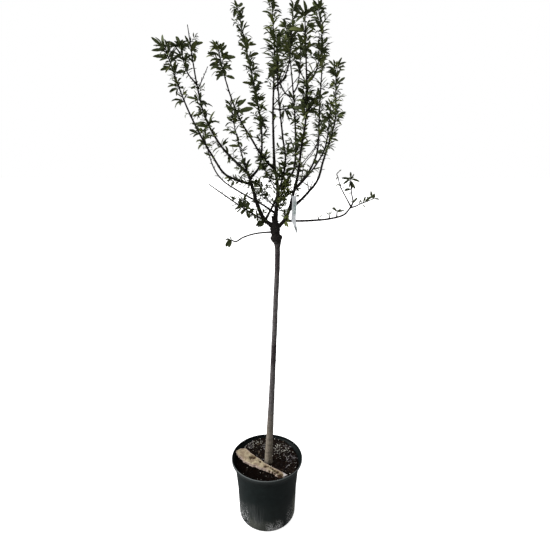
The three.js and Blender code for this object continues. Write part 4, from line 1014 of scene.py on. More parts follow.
def strip_wood(look):
    """Dry split wood: pale with yellow patches, rosy at its edges, dark and mossy at its hollows."""
    made = Finish("strip_wood", Specular_IOR_Level=0.2, Roughness=0.85)
    level = math.atan2(-STRIP_GRAIN.y, STRIP_GRAIN.x) + math.pi / 2
    turned = made.node("ShaderNodeMapping", Vector=made.place, Rotation=(math.pi / 2, 0, level)).outputs[0]
    lines = made.use("Streaks", Vector=turned, Across=420.0, Along=26.0, Cover=0.5)
    patches, grains = made.spots(48.0, 230.0)
    pale = made.mix(made.ramp(patches, (0.36, 0.0), (0.75, 1.0)), look.wood, look.yellow)
    mottled = made.mix(made.ramp(grains, (0.15, 0.6), (0.5, 0.0)), pale, shade(look.wood, 0.42))
    rosy = made.mix(made.times(made.painted("rim"), 0.75), mottled, look.rosy)
    grained = made.mix(made.times(lines["Mask"], 0.4), rosy, shade(look.wood, 0.4))
    ragged = made.plus(made.painted("stain"), made.times(made.minus(grains, 0.5), 0.5))
    mossy = made.mix(made.ramp(ragged, (0.08, 0.0), (0.42, 0.8)), grained, look.moss)
    holed = made.mix(made.ramp(ragged, (0.34, 0.0), (0.72, 1.0)), mossy, look.stain)
    right = made.ramp(made.share_of("X", 0, STRIP_HIGH.x), (0.72, 0.0), (0.84, 0.9))
    tip = made.times(right, made.ramp(ragged, (0.2, 1.0), (0.5, 0.0)))
    return made.done(made.mix(tip, holed, look.tip), lines["Height"], 0.6, 0.0009)


def bark(name, foot, middle, plum, top):
    """Smooth mottled bark that darkens with height, with dark rings and pale breathing pores."""
    made = Finish(name, Specular_IOR_Level=0.06)
    span = made.share_of("Z", SOIL_LEVEL, TRUNK_WAY[-1][2])
    flat = made.vectors("MULTIPLY", made.place, (1, 1, 2.4))[0]
    patches, grains = made.spots(70.0, 420.0, flat)
    furrows = made.use("Streaks", Vector=made.place, Across=260.0, Along=70.0, Cover=0.4)
    uneven = made.plus(span, made.times(made.minus(patches, 0.5), 0.06))
    lower = [0.5 * (a + b) for a, b in zip(foot, middle)]
    tone = made.ramp(uneven, (0.0, foot), (0.10, foot), (0.19, lower), (0.27, middle), (0.42, middle),
                     (0.455, plum), (0.52, plum), (0.56, shade(middle, 1.1)), (0.80, middle),
                     (0.86, plum), (0.91, shade(middle, 0.7)), (0.935, top))
    worn = [b / a for a, b in zip(middle, plum)]
    blotched = made.mix(made.ramp(patches, (0.15, 0.6), (0.5, 0.0)), tone, worn, "MULTIPLY")
    furrowed = made.mix(made.times(furrows["Mask"], 0.42), blotched, top)
    faint = made.ramp(patches, (0.35, 0.08), (0.75, 0.55))
    with_rings = made.mix(made.times(made.painted("ring"), faint), furrowed, shade(top, 0.8))
    pores = made.node("ShaderNodeTexVoronoi", Vector=flat, Scale=120.0).outputs["Distance"]
    lit = made.mix(made.ramp(pores, (0.10, 0.35), (0.2, 0.0)), with_rings, shade(foot, 1.5))
    made.set("Roughness", made.plus(made.times(patches, 0.2), 0.66))
    return made.done(made.mix(made.times(grains, 0.3), lit, shade(middle, 0.5)),
                     made.plus(furrows["Height"], grains), 0.5, 0.0009)


def leaf_finish(name, colour):
    made = Finish(name, Roughness=0.55, Specular_IOR_Level=0.14)
    return made.done(colour, made.texture(made.place, 500, 2.0, 0.5), 0.15, 0.0004)


def tag_film(look):
    """White film with a faded stretch at the right of its blade, and a dull tail."""
    made = Finish("tag_film", Roughness=0.35, Coat_Weight=0.3)
    share = made.share_of("Z", TAG_LOW.z, TAG_HIGH.z)
    patches, _ = made.spots(120.0, 900.0)
    band = made.ramp(share, (0.42, 0.0), (0.50, 1.0), (0.74, 1.0), (0.84, 0.0))
    right = made.ramp(made.share_of("X", TAG_LOW.x, TAG_HIGH.x), (0.30, 0.15), (0.55, 1.0))
    faded = made.times(made.times(band, right), made.ramp(patches, (0.3, 0.5), (0.7, 1.0)))
    worn = made.mix(faded, look.film, look.smudge)
    dull = made.times(made.ramp(share, (0.0, 0.5), (0.07, 1.0), (0.13, 1.0), (0.2, 0.0)), 0.85)
    tone = made.mix(dull, worn, shade(look.smudge, 0.3))
    # Painted light: the film glows in its own colour, in place of light from behind shining through it.
    made.set("Emission Color", tone)
    made.set("Emission Strength", TAG_GLOW)
    return made.done(tone, patches, 0.3, 0.001)


# Pot, soil and strip


def pot_shell(look):
    turns = np.linspace(0, math.pi / 2, 9)
    foot = FOOT_RADIUS - FOOT_ROUND
    rounded = [(foot + FOOT_ROUND * math.sin(t), FOOT_ROUND - FOOT_ROUND * math.cos(t)) for t in turns]
    outside = [(0, 0), *rounded]
    outside += [(WAIST_RADIUS, WAIST_HEIGHT), (SHOULDER_RADIUS - NECK_INSET, FLARE_FOOT - NECK_DROP)]
    outside += [(SHOULDER_RADIUS, FLARE_FOOT), (RIM_RADIUS - FLARE_INSET, FLARE_TOP - FLARE_DROP)]
    outside += [(RIM_RADIUS, FLARE_TOP), (RIM_RADIUS, RIM_HEIGHT)]
    inside = [(foot, FLOOR), (FOOT_RADIUS - WALL, FLOOR + FOOT_ROUND)]
    inside += [(r - WALL, h) for r, h in outside[10:]]
    shape = spun([*outside, *reversed(inside), (0, FLOOR)], 160)
    edges = [e for e in shape.edges if e.calc_face_angle(0) > math.radians(22)
             and abs(e.verts[0].co.z - e.verts[1].co.z) < 1e-5]
    bmesh.ops.bevel(shape, geom=edges, offset=look.edge, affect="EDGES", segments=3, profile=0.5, material=-1)
    return mesh_of(shape, "pot_shell", math.radians(40))


def drain_cutter():
    shape = bmesh.new()
    for k in range(DRAIN_HOLES):
        angle = (k + 0.5) / DRAIN_HOLES * 2 * math.pi
        spot = Vector((DRAIN_CIRCLE * math.cos(angle), DRAIN_CIRCLE * math.sin(angle), FLOOR / 2))
        bmesh.ops.create_cone(shape, cap_ends=True, segments=24, radius1=DRAIN_RADIUS, radius2=DRAIN_RADIUS,
                              depth=3 * FLOOR, matrix=Matrix.Translation(spot))
    return mesh_of(shape, "drain_cutter")


def soil_spot(x, y, look):
    """How far a place moves outwards with the flare of the wall, and its height.

    The surface is level round the trunk's foot, lumpy elsewhere, and heaped at the back.
    """
    foot = TRUNK_WAY[0]
    apart = math.hypot(x - foot[0], y - foot[1])
    fade = min(1.0, max(0.0, (apart - SOIL_FLAT) / 0.02))
    slope = SOIL_SLOPE * (y - foot[1]) - SOIL_SINK * (x * x + y * y) / SOIL_EDGE**2
    lumps = look.lump * (fractal((x, y, 0), 45, 3.0) + 0.45 * fractal((x, y, 0), 190, 9.0))
    heap = SOIL_HEAP * max(0.0, y / SOIL_EDGE) ** 2 * min(1.0, math.hypot(x, y) / SOIL_EDGE)
    height = SOIL_LEVEL + fade * slope + heap + (0.35 + 0.65 * fade) * lumps
    return 1 + SOIL_FLARE * max(0.0, height - SOIL_LEVEL), height


def soil_body(look):
    inner = 0.0004 + WALL
    rings = np.linspace(SOIL_EDGE - inner + 0.002, 0.0, 46)
    below = [(0, FLOOR + 0.0003), (FOOT_RADIUS - FOOT_ROUND, FLOOR + 0.0005),
             (FOOT_RADIUS - inner, FLOOR + FOOT_ROUND), (WAIST_RADIUS - inner, WAIST_HEIGHT),
             (SHOULDER_RADIUS - NECK_INSET - inner, FLARE_FOOT - NECK_DROP)]
    shape = spun([*below, *[(r, SOIL_LEVEL) for r in rings]], 200)
    for vert in shape.verts:
        if vert.co.z > SOIL_LEVEL - 1e-4:
            wider, height = soil_spot(vert.co.x, vert.co.y, look)
            vert.co = (vert.co.x * wider, vert.co.y * wider, height)
    return mesh_of(shape, "soil_body")


def behind_strip(x, y):
    """Loose bits lie mostly behind the strip of wood."""
    return 0.35 if x * STRIP_GRAIN.y - y * STRIP_GRAIN.x > 0.045 else 1.0


def spots_on_soil(count, name, rare, heaps):
    """Random places on the soil, clear of the trunk, most of them on the heaps of that kind."""
    draw = sown(name)
    found = []
    while len(found) < count:
        radius, angle, chance = SOIL_EDGE * 0.98 * draw() ** 0.5, 2 * math.pi * draw(), draw()
        x, y = radius * math.cos(angle), radius * math.sin(angle)
        favour = rare
        for share, middle, width, depth in heaps:
            apart = ((x - middle[0]) / width) ** 2 + ((y - middle[1]) / depth) ** 2
            favour += share * math.exp(-apart)
        clear = math.hypot(x - TRUNK_WAY[0][0], y - TRUNK_WAY[0][1]) > TRUNK_REACH
        if chance < behind_strip(x, y) * favour and clear:
            found.append((x, y))
    return found, draw


def strewn(places, draw, points, sizes, look, lift):
    """Copies of a small shape lying on the soil, each turned, squashed and roughened."""
    copies = []
    for x, y in places:
        wider, height = soil_spot(x, y, look)
        size = np.array([low + (high - low) * draw() ** 1.6 for low, high in sizes])
        spin = Matrix.Rotation(2 * math.pi * draw(), 3, "Z") @ Matrix.Rotation(0.7 * (draw() - 0.5), 3, "X")
        spin = spin @ Matrix.Rotation(0.7 * (draw() - 0.5), 3, "Y")
        rough = 1 + 0.35 * (np.array([draw() for _ in points])[:, None] - 0.5)
        spot = np.array([x * wider, y * wider, height + lift * size[2]])
        copies.append((points * rough * size) @ np.array(spin).T + spot)
    return np.array(copies)


def strip_outline(inset=0.0):
    middle = np.mean(SAWN + TORN, axis=0)
    return [tuple(np.array(p) + inset * unit(middle - p)) for p in SAWN + TORN]


def wood_strip(look):
    """The torn strip: its outline given thickness, remeshed fine, then furrowed and hollowed."""
    shape = bmesh.new()
    thick = STRIP_HIGH.z - STRIP_LOW.z
    outline = strip_outline(0.0008)
    base = shape.faces.new([shape.verts.new((x, y, STRIP_LOW.z + 0.0006)) for x, y in outline])
    raised = bmesh.ops.extrude_face_region(shape, geom=[base])["geom"]
    upper = [g for g in raised if isinstance(g, bmesh.types.BMVert)]
    bmesh.ops.translate(shape, vec=(0, 0, thick - 0.0012), verts=upper)
    strip = loose("wood_strip", mesh_of(shape, "strip_block"))
    fine = strip.modifiers.new("fine", "REMESH")
    fine.mode, fine.voxel_size = "VOXEL", look.voxel
    mesh = settled(strip)
    shape = bmesh.new()
    shape.from_mesh(mesh)
    bpy.data.meshes.remove(mesh)
    across = Vector((-STRIP_GRAIN.y, STRIP_GRAIN.x, 0))
    shape.normal_update()
    edge_line = np.array([(*p, 0) for p in strip_outline()])
    edge_line = np.vstack([edge_line, edge_line[:1]])
    flat = np.array([(v.co.x, v.co.y, 0) for v in shape.verts])
    rims = np.exp(-((gap_to(flat, edge_line) / 0.0034) ** 2))
    stains = []
    for vert in shape.verts:
        p = vert.co.copy()
        run, wide = p.dot(STRIP_GRAIN), p.dot(across)
        fibres = noise.noise(Vector((run * 26, wide * 420, p.z * 420)))
        wave = noise.noise(Vector((run * 30, wide * 60, 4.0)))
        stain = 0.0
        for (x, y), radius in HOLLOWS:
            apart = math.hypot(p.x - x, (p.y - y)) / radius
            wobble = 0.35 * noise.noise(Vector((p.x * 160, p.y * 160, radius * 900)))
            stain = max(stain, 1.25 - apart + wobble)
        stain = min(1.0, stain)
        stains.append(stain)
        push = 0.0006 * fibres + 0.0006 * wave
        if p.z > (STRIP_LOW.z + STRIP_HIGH.z) / 2:
            push -= HOLLOW_DEPTH * stain
        torn = TORN_DEPTH + TORN_DEPTH * max(0.0, min(1.0, p.x / 0.03))
        ragged = torn * noise.noise(Vector((run * 120, p.z * 180, 2.0)))
        front = max(0.0, -vert.normal.dot(across))
        vert.co = p + vert.normal * push - across * ragged * front
    mesh = bpy.data.meshes.new("wood_strip")
    shape.to_mesh(mesh)
    shape.free()
    paint(mesh, "stain", stains)
    paint(mesh, "rim", rims)
    return smoothed(mesh, math.radians(55))


# Bark


def ringed(z):
    """How near a height is to one of the rings that old buds left round the trunk."""
    return np.exp(-(((np.asarray(z)[..., None] - RINGS) / 0.0028) ** 2)).sum(-1)


def trunk_relief(points, look):
    """Furrows, rings, old buds, the lumps of the graft knob and the ribs of the root flare."""
    out = []
    for p in points:
        furrow = fractal((p[0], p[1], p[2] * 0.14), 210, 1.0)
        wide = fractal((p[0], p[1], p[2] * 0.6), 42, 5.0, 2)
        lump = 0.0
        for place, radius, height in KNOB_LUMPS + BUDS:
            apart = math.dist(p, place) / radius
            lump += height * math.exp(-apart * apart)
        knob = max(0.0, 1 - abs(p[2] - KNOB_MIDDLE) / KNOB_HALF)
        out.append(look.relief * (furrow + 0.9 * wide) + lump + knob * KNOB_ROUGH * fractal(p, 130, 7.0))
    flare = max(0.0, 1 - (points[0][2] - SOIL_LEVEL) / ROOT_FLARE)
    turn = np.linspace(0, 2 * math.pi, len(points), endpoint=False)
    ribs = ROOT_RIBS * flare**2 * (np.cos(3 * turn + 0.6) + 0.6 * np.cos(5 * turn + 2))
    return 0.0004 * ringed(points[:, 2]) + np.array(out) + ribs


def trunk_bark(look):
    line = TREE.trunk
    heights, radii = zip(*TRUNK_GIRTH)
    levels = np.concatenate([np.arange(0.262, 1.195, 0.0022), np.arange(1.195, 1.2855, 0.0013)])
    parts = (levels - TRUNK_WAY[0][2]) / (TRUNK_WAY[-1][2] - TRUNK_WAY[0][2])
    shape = bmesh.new()
    rows = rolled(line, lambda part: np.interp(line.at(part)[..., 2], heights, radii), parts, 40,
                  lambda points: trunk_relief(points, look))
    crown = rows[-1].mean(0)
    for share, drop in ((0.72, 0.0012), (0.4, 0.0019)):
        rows = np.vstack([rows, (crown + (rows[-1] - crown) * share + [0, 0, drop])[None]])
    add_tube(shape, rows)
    add_tube(shape, rolled(Line([STUB_FOOT, STUB_TIP]), lambda part: STUB_RADIUS * (1.25 - 0.3 * part),
                           np.linspace(0, 1, 16), 14,
                           lambda points: np.array([0.0006 * fractal(p, 260, 2.0) for p in points])))
    mesh = mesh_of(shape, "trunk_bark", math.radians(70))
    paint(mesh, "ring", [ringed(v.co.z) if v.co.z < 1.2 else 0 for v in mesh.vertices])
    return mesh


def shoot_rows(shoot, line, sides, spacing, look):
    """Rows of a shoot's bark: a taper, a collar at its foot and a knot every few centimetres."""
    draw = sown(shoot.name + "knots")
    knots = []
    at = 0.02
    while at < line.length:
        knots.append(at)
        at += 0.016 + 0.016 * draw()
    knots = np.array(knots)

    def radius(part):
        run = part * line.length
        knot = np.exp(-(((run - knots) / 0.0022) ** 2)).sum()
        collar = 0.35 * shoot.radius[0] * math.exp(-run / 0.012)
        return limb_radius(shoot, part) * (1 + 0.16 * knot) + collar

    fine = min(look.relief, 0.06 * shoot.radius[0])

    def relief(points):
        return np.array([fine * fractal((x, y, z * 0.3), 260, 4.0, 2) for x, y, z in points])

    parts = np.linspace(0, 1, max(4, round(line.length / spacing)) + 1)
    return rolled(line, radius, parts, sides, relief)


def wood_bark(name, chosen, look, limit, sides, spacing):
    """The bark of some wood. Sides and spacing are for wood up to the limit, and for thicker wood."""
    shape = bmesh.new()
    for shoot, line in chosen:
        thick = shoot.radius[0] > limit
        add_tube(shape, shoot_rows(shoot, line, sides[thick], spacing[thick], look))
    return mesh_of(shape, name, math.radians(70))


def limb_bark(names, name, look):
    chosen = [(shoot, TREE.lines[shoot.name]) for shoot in SHOOTS if shoot.name in names]
    return wood_bark(name, chosen, look, 0.006, (12, 20), (0.004, 0.003))


# Sprays of leaves


def cone(foot, tip, foot_radius, tip_radius):
    """Points of a small tapering twig: two rings."""
    along = unit(tip - foot)
    side = unit(np.cross(along, [0.3, 0.2, 1.0]))
    front = np.cross(along, side)
    turn = np.linspace(0, 2 * math.pi, CONE_SIDES, endpoint=False)
    ring = np.cos(turn)[:, None] * side + np.sin(turn)[:, None] * front
    return np.vstack([foot + ring * foot_radius, tip + ring * tip_radius])


def cone_faces():
    n = CONE_SIDES
    walls = [(k, (k + 1) % n, n + (k + 1) % n, n + k) for k in range(n)]
    return [*walls, tuple(reversed(range(n))), tuple(range(n, 2 * n))]


def blade_faces():
    """Faces of a folded blade: a root, rows of (left, upper, lower, right), and a tip."""
    tip = 1 + 4 * len(BLADE)
    faces = []
    for a in range(1, tip - 4, 4):
        b = a + 4
        faces += [(a, a + 1, b + 1, b), (a + 1, a + 3, b + 3, b + 1),
                  (a + 2, a, b, b + 2), (a + 3, a + 2, b + 2, b + 3)]
    faces += [(0, 2, 1), (0, 4, 2), (0, 1, 3), (0, 3, 4)]
    a = tip - 4
    return faces + [(a, a + 1, tip), (a + 1, a + 3, tip), (a + 2, a, tip), (a + 3, a + 2, tip)]


def blades(root, along, flat, length, width, arch):
    """Points of many leaves at once, each bent down along its length."""
    normal = np.cross(along, flat)
    down = np.where(normal[:, 2:3] > 0, -normal, normal)
    rows = [root]
    half = width[:, None] / 2

    def spine(share):
        bend = arch * share
        ahead = np.sin(bend) / arch
        drop = (1 - np.cos(bend)) / arch
        return root + length[:, None] * (along * ahead + down * drop)

    for share, broad in BLADE:
        middle = spine(share)
        rise = -down * (LEAF_FOLD * half * broad)
        rows += [middle - flat * half * broad + rise, middle - down * LEAF_THICK,
                 middle + down * LEAF_THICK, middle + flat * half * broad + rise]
    rows.append(spine(1.0))
    return np.stack(rows, 1)


class Foliage:
    """Collects spurs and leaves of all shoots, spray by spray."""

    def __init__(self, look):
        self.look = look
        self.leaves = []
        self.spurs = []

    def leaf(self, owner, shoot, root, along, length, tint, draw):
        """One leaf that leaves its root along a direction, rolled a little."""
        level = unit(np.cross([0, 0, 1.0], along))
        flat = around(level, along, LEAF_ROLL * (2 * draw() - 1))
        self.leaves.append((owner, root, along, flat, length, tint, shoot.droop * draw(), 1.0))

    def spray(self, owner, shoot, foot, along, reach, many, tint, draw):
        """A short spur and its leaves, kept within the reach of the source's single leaf."""
        spur = min(0.3 * reach, 0.004 + 0.008 * draw())
        self.spurs.append(cone(foot, foot + along * spur, *SPUR_RADII))
        first = reach - spur
        self.leaf(owner, shoot, foot + along * spur * 0.9, along, first, tint, draw)
        turn = 6 * draw()
        for _ in range(max(1, round(self.look.per_spray * many * (0.5 + draw())))):
            turn += TURN
            way = outwards(along, turn, math.pi / 2 - 0.4 - 0.8 * draw())
            root = foot + along * spur * (0.35 + 0.6 * draw())
            self.leaf(owner, shoot, root, unit(way + [0, 0, 0.25]), first * (0.3 + 0.8 * draw()), tint, draw)

    def side_twig(self, owner, shoot, foot, along, reach, many, tint, draw):
        """A thin side twig that turns upwards, with small leaves along it, in the same reach."""
        size = 0.62 * reach
        middle = foot + along * size / 2
        ahead = unit(along + [0, 0, 0.5])
        tip = middle + ahead * size / 2
        self.spurs.append(cone(foot, middle, *TWIG_RADII[:2]))
        self.spurs.append(cone(middle, tip, *TWIG_RADII[1:]))
        turn = 6 * draw()
        count = max(4, round(6 * many))
        for k in range(count):
            share = 2 * (k + 1) / count
            root, way = foot + (middle - foot) * share, along
            if share >= 1:
                root, way = middle + (tip - middle) * (share - 1), ahead
            turn += TURN
            way = outwards(way, turn, 0.5 + 0.5 * draw())
            self.leaf(owner, shoot, root, way, reach * (0.34 + 0.22 * draw()), tint, draw)
        self.leaf(owner, shoot, tip, ahead, reach * 0.4, tint, draw)

    def along_shoot(self, owner, shoot, line):
        """The source's rule: one spray at every gap of each leafy stretch, and a few at the tip."""
        draw, extra = self.draws[owner], self.extras[owner]
        weights = np.cumsum(TINTS[shoot.tints])

        def within(span):
            return span[0] + span[1] * draw()

        def tone():
            return int(np.searchsorted(weights, extra() * weights[-1]))

        def grow(foot, along, twigs, gaps, many):
            reach = LEAF_LENGTH * within(SIZE) * shoot.leaf
            # One number is drawn and not used, so that all later ones stay the same
            draw()
            chance = extra()
            if chance > 1 - gaps:
                return
            kind = self.side_twig if chance < twigs else self.spray
            kind(owner, shoot, foot, along, reach, many, tone(), extra)

        turn = 6 * draw()
        for start, end, gap, many in shoot.tufts:
            for at in np.arange(start * line.length, end * line.length, gap):
                part = at / line.length
                turn += TURN + TURN_SPREAD * (draw() - 0.5)
                way = outwards(line.heading(part), turn, within(RISE))
                grow(line.at(part), way, SIDE_TWIGS, BARE_PLACES, many)
            self.single_leaves(owner, shoot, line, (start, end), SINGLE_GAP * gap / many, tone, extra)
        if any(end == 1 for _, end, _, _ in shoot.tufts):
            for _ in range(TIP_LEAVES):
                turn += 2 * math.pi / TIP_LEAVES
                tip = line.at(1 - TIP_BACK / line.length)
                grow(tip, outwards(line.heading(1.0), turn, within(TIP_RISE)), 0, 0, shoot.tufts[-1][3])
        self.sprigs(shoot, line, tone)

    def sprigs(self, shoot, line, tone):
        """Small sprays on the stretches of bare wood that carry some."""
        draw = sown(shoot.name + "sprigs")
        turn = 6 * draw()
        for start, end, gap in shoot.sprigs:
            for at in np.arange(start * line.length, end * line.length, gap):
                part = at / line.length
                turn += TURN + TURN_SPREAD * (draw() - 0.5)
                way = outwards(line.heading(part), turn, 0.3 + 0.6 * draw())
                foot = line.at(part) + way * limb_radius(shoot, part) * 0.8
                reach = LEAF_LENGTH * SPRIG_LEAF * (0.7 + 0.6 * draw())
                self.spray(LOOSE, shoot, foot, way, reach, 1, tone(), draw)

    def single_leaves(self, owner, shoot, line, stretch, gap, tone, draw):
        """Leaves that sit on the shoot itself, between its sprays."""
        turn = 6 * draw()
        at = stretch[0] * line.length
        tint = tone()
        while at < stretch[1] * line.length:
            part = at / line.length
            turn += TURN + TURN_SPREAD * (draw() - 0.5)
            way = outwards(line.heading(part), turn, 0.3 + 0.95 * draw())
            if draw() < 0.3:
                tint = tone()
            size = LEAF_LENGTH * shoot.leaf * (0.25 + 0.7 * draw())
            self.leaf(owner, shoot, line.at(part) + way * limb_radius(shoot, part), way, size, tint, draw)
            at += gap * (0.25 + 2.2 * draw() ** 2)

    def pegs(self, shoot, line):
        """Short dry twiglets along a shoot of the crown, some with a small leaf."""
        if shoot.name.startswith(LOW_SHOOTS):
            return
        draw = sown(shoot.name + "pegs" + str(round(line.length * 1000)))
        turn = 6 * draw()
        at = PEG_GAP
        while at < line.length - PEG_LENGTH:
            part = at / line.length
            turn += TURN + TURN_SPREAD * (draw() - 0.5)
            way = outwards(line.heading(part), turn, 0.2 + 0.7 * draw())
            foot = line.at(part) + way * limb_radius(shoot, part) * 0.6
            tip = foot + way * (PEG_LENGTH * (0.3 + draw() ** 2))
            self.spurs.append(cone(foot, tip, *PEG_RADII))
            if draw() < 0.4:
                self.leaf(LOOSE, shoot, tip, way, LEAF_LENGTH * (0.2 + 0.3 * draw()), 1, draw)
            at += PEG_GAP * (0.5 + draw())

    def large_leaves(self):
        """The few leaves that stand out by their size."""
        draw = sown("large leaves")
        for name, leaves in LARGE_LEAVES:
            broad = BROAD_LEAVES.get(name, 1.0)
            for part, *way, length, tint in leaves:
                way = unit(way)
                flat = unit(np.cross(way, [0.2, 1, 0.4]))
                root = TREE.lines[name].at(part)
                self.leaves.append((LOOSE, root, way, flat, length, tint, 0.7 * draw(), broad))

    def gather(self):
        leafy = [shoot for shoot in SHOOTS if shoot.tufts or shoot.sprigs]
        self.draws = {shoot.name: sown(shoot.name + shoot.sown) for shoot in leafy}
        self.extras = {shoot.name: sown(shoot.name + "spray") for shoot in leafy}
        for shoot in leafy:
            self.along_shoot(shoot.name, shoot, TREE.lines[shoot.name])
            for fork, line in TREE.forks:
                if fork.name == shoot.name:
                    self.along_shoot(shoot.name, fork, line)
        for shoot, line in TREE.all_wood():
            self.pegs(shoot, line)
        self.large_leaves()

    def fitting(self, owners, root, along, length):
        """Which leaves keep to their own space and clear of bare limbs and of the tag."""
        bare, leafy = TREE.space()
        names = np.array([name for name, _ in leafy])
        good = np.ones(len(root), bool)
        for share in (0.55, 1.0):
            points = root + along * (length * share)[:, None]
            for line, reach in bare:
                good &= gap_to(points, line) > reach + LIMB_SPACE
            gaps = np.array([gap_to(points, line) for _, line in leafy])
            own = np.where(names[:, None] == owners[None], gaps, np.inf).min(0)
            own = np.where(owners == LOOSE, 0, own)
            other = np.where(names[:, None] != owners[None], gaps, np.inf).min(0)
            good &= other > own + OWN_SPACE
            beside = (points[:, 0] > TAG_LOW.x - TAG_SPACE) & (points[:, 0] < TAG_HIGH.x + TAG_SPACE)
            level = (points[:, 2] > TAG_LOW.z - TAG_SPACE) & (points[:, 2] < TAG_HIGH.z)
            good &= ~(beside & level & (points[:, 1] < TAG_HIGH.y))
        return good

    def meshes(self):
        """The leaves that fit, and the spurs."""
        columns = [np.array(column) for column in zip(*self.leaves)]
        good = self.fitting(columns[0], columns[1], columns[2], columns[4])
        _, root, along, flat, length, tint, arch, broad = [column[good] for column in columns]
        bend = (0.2 + self.look.arch * arch)[:, None]
        width = length / self.look.slenderness * (0.85 + 0.35 * np.abs(np.sin(7919 * length))) * broad
        leaves = copied("leaves", blades(root, along, flat, length, width, bend), blade_faces(), tint)
        spurs = copied("spurs", np.array(self.spurs), cone_faces(), 0)
        return smoothed(leaves, math.radians(50)), smoothed(spurs, math.radians(60))


# Tag


def tag_ribbon(look):
    """A film with a blade in front of the limb and a narrow tail."""
    hang = Vector(((TAG_LOW.x + TAG_HIGH.x) / 2 + 0.001, 0, TAG_HANG))
    front = TAG_LOW.y + 0.0008
    half = look.width / 2
    rows = []
    top, knee, low = hang.z + 0.002, hang.z - 0.083, TAG_LOW.z + 0.0005
    for z in [*np.linspace(top, knee, 26), *np.linspace(knee - 0.003, low, 18)]:
        below = max(0.0, (knee - z) / (knee - low))
        wide = half * (1 - 0.75 * below)
        if z > knee:
            wide = half * min(1.0, 0.75 + (top - z) / 0.02)
        drift = 0.0005 + 0.010 * below + 0.0012 * math.sin((top - z) * 60)
        rows.append((z, wide, drift, 0.0009 * math.sin((top - z) * 45)))
    shape = bmesh.new()
    grid = bmesh.ops.create_grid(shape, x_segments=6, y_segments=len(rows) - 1, size=1)["verts"]
    for vert in grid:
        share = vert.co.x
        z, wide, drift, wave = rows[round((vert.co.y + 1) / 2 * (len(rows) - 1))]
        curl = 0.0007 * share * share
        vert.co = Vector((hang.x + drift + wide * share, front + wave + curl, z))
    bmesh.ops.solidify(shape, geom=list(shape.faces), thickness=0.0003)
    return mesh_of(shape, "tag_ribbon", math.radians(50))


def tag_loop():
    """The strap of the tag round the right limb."""
    line = TREE.lines["right_limb"]
    parts = np.linspace(0, 1, 400)
    part = parts[np.argmin(np.abs(line.at(parts)[:, 2] - TAG_HANG))]
    shoot = next(s for s in SHOOTS if s.name == "right_limb")
    inner = float(limb_radius(shoot, part)) + 0.0009
    outer, half = inner + 0.0006, 0.004
    shape = spun([(inner, -half), (outer, -half), (outer, half), (inner, half), (inner, -half)], 32)
    turn = Vector((0, 0, 1)).rotation_difference(Vector(line.heading(part))).to_matrix().to_4x4()
    bmesh.ops.transform(shape, matrix=Matrix.Translation(line.at(part)) @ turn, verts=shape.verts)
    return mesh_of(shape, "tag_loop", math.radians(40))


# Operators


class AddPot(bpy.types.Operator):
    """Builds the nursery pot with its drain holes"""

    bl_idname = "almond.add_pot"
    bl_label = "Pot"

    def execute(self, context):
        look = context.scene.almond_pot
        shell = loose("nursery_pot", pot_shell(look))
        cutter = loose("drain_cutter", drain_cutter())
        cut = shell.modifiers.new("drain holes", "BOOLEAN")
        cut.object, cut.operation, cut.solver = cutter, "DIFFERENCE", "EXACT"
        mesh = settled(shell)
        bpy.data.objects.remove(cutter)
        # Marks the inner wall, which the finish darkens as painted shade.
        inwards = [-(v.normal.x * v.co.x + v.normal.y * v.co.y) for v in mesh.vertices]
        paint(mesh, "inside", [1.0 if way > 0.01 else 0.0 for way in inwards])
        piece("nursery_pot", smoothed(mesh, math.radians(40)), [pot_plastic(look)], "pot", "pot")
        return {"FINISHED"}


class AddSoil(bpy.types.Operator):
    """Builds the soil and strews grains, chips, shards and fibres on it"""

    bl_idname = "almond.add_soil"
    bl_label = "Soil"

    def execute(self, context):
        look = context.scene.almond_soil
        piece("potting_mix", soil_body(look), [earth(look)], "soil", "soil")
        for kind, (name, sizes, lift, rare, heaps, tones) in STREWN.items():
            if kind == "grains":
                points, faces = small_shape(bmesh.ops.create_icosphere, subdivisions=1, radius=1)
                finishes = [pale_grain(look)]
            else:
                points, faces = small_shape(bmesh.ops.create_cube, size=2)
                finishes = [chip_finish(*tone) for tone in tones]
            places, draw = spots_on_soil(getattr(look, kind), kind, rare, heaps)
            copies = strewn(places, draw, points, sizes, look, lift)
            number = [int(draw() >= FIRST_TONE) for _ in places] if len(finishes) > 1 else 0
            piece(name, smoothed(copied(name, copies, faces, number), 0.6), finishes, "soil")
        return {"FINISHED"}


class AddStrip(bpy.types.Operator):
    """Builds the torn strip of wood that bridges the pot"""

    bl_idname = "almond.add_strip"
    bl_label = "Strip of wood"

    def execute(self, context):
        look = context.scene.almond_strip
        piece("torn_strip", wood_strip(look), [strip_wood(look)], "wood_slab", "wood_slab")
        return {"FINISHED"}


class AddTrunk(bpy.types.Operator):
    """Builds the trunk's bark with its root flare, graft knob and pruned stub"""

    bl_idname = "almond.add_trunk"
    bl_label = "Trunk"

    def execute(self, context):
        look = context.scene.almond_bark
        finish = bark("trunk_bark", look.foot, look.middle, look.plum, look.top)
        piece("trunk_bark", trunk_bark(look), [finish], "trunk", "trunk")
        return {"FINISHED"}


class AddLimbs(bpy.types.Operator):
    """Builds the bark of the main limbs and of the long shoots"""

    bl_idname = "almond.add_limbs"
    bl_label = "Limbs and boughs"

    def execute(self, context):
        look = context.scene.almond_bark
        grey = shade(look.middle, 0.5)
        finish = bark("limb_bark", grey, grey, look.plum, look.thin)
        piece("main_limbs", limb_bark(MAIN_LIMBS, "main_limbs", look), [finish], "limb", *MAIN_LIMBS)
        shoots = [name.removesuffix("_bough") for name in BOUGHS]
        piece("long_shoots", limb_bark(shoots, "long_shoots", look), [finish], "limb", *BOUGHS)
        return {"FINISHED"}


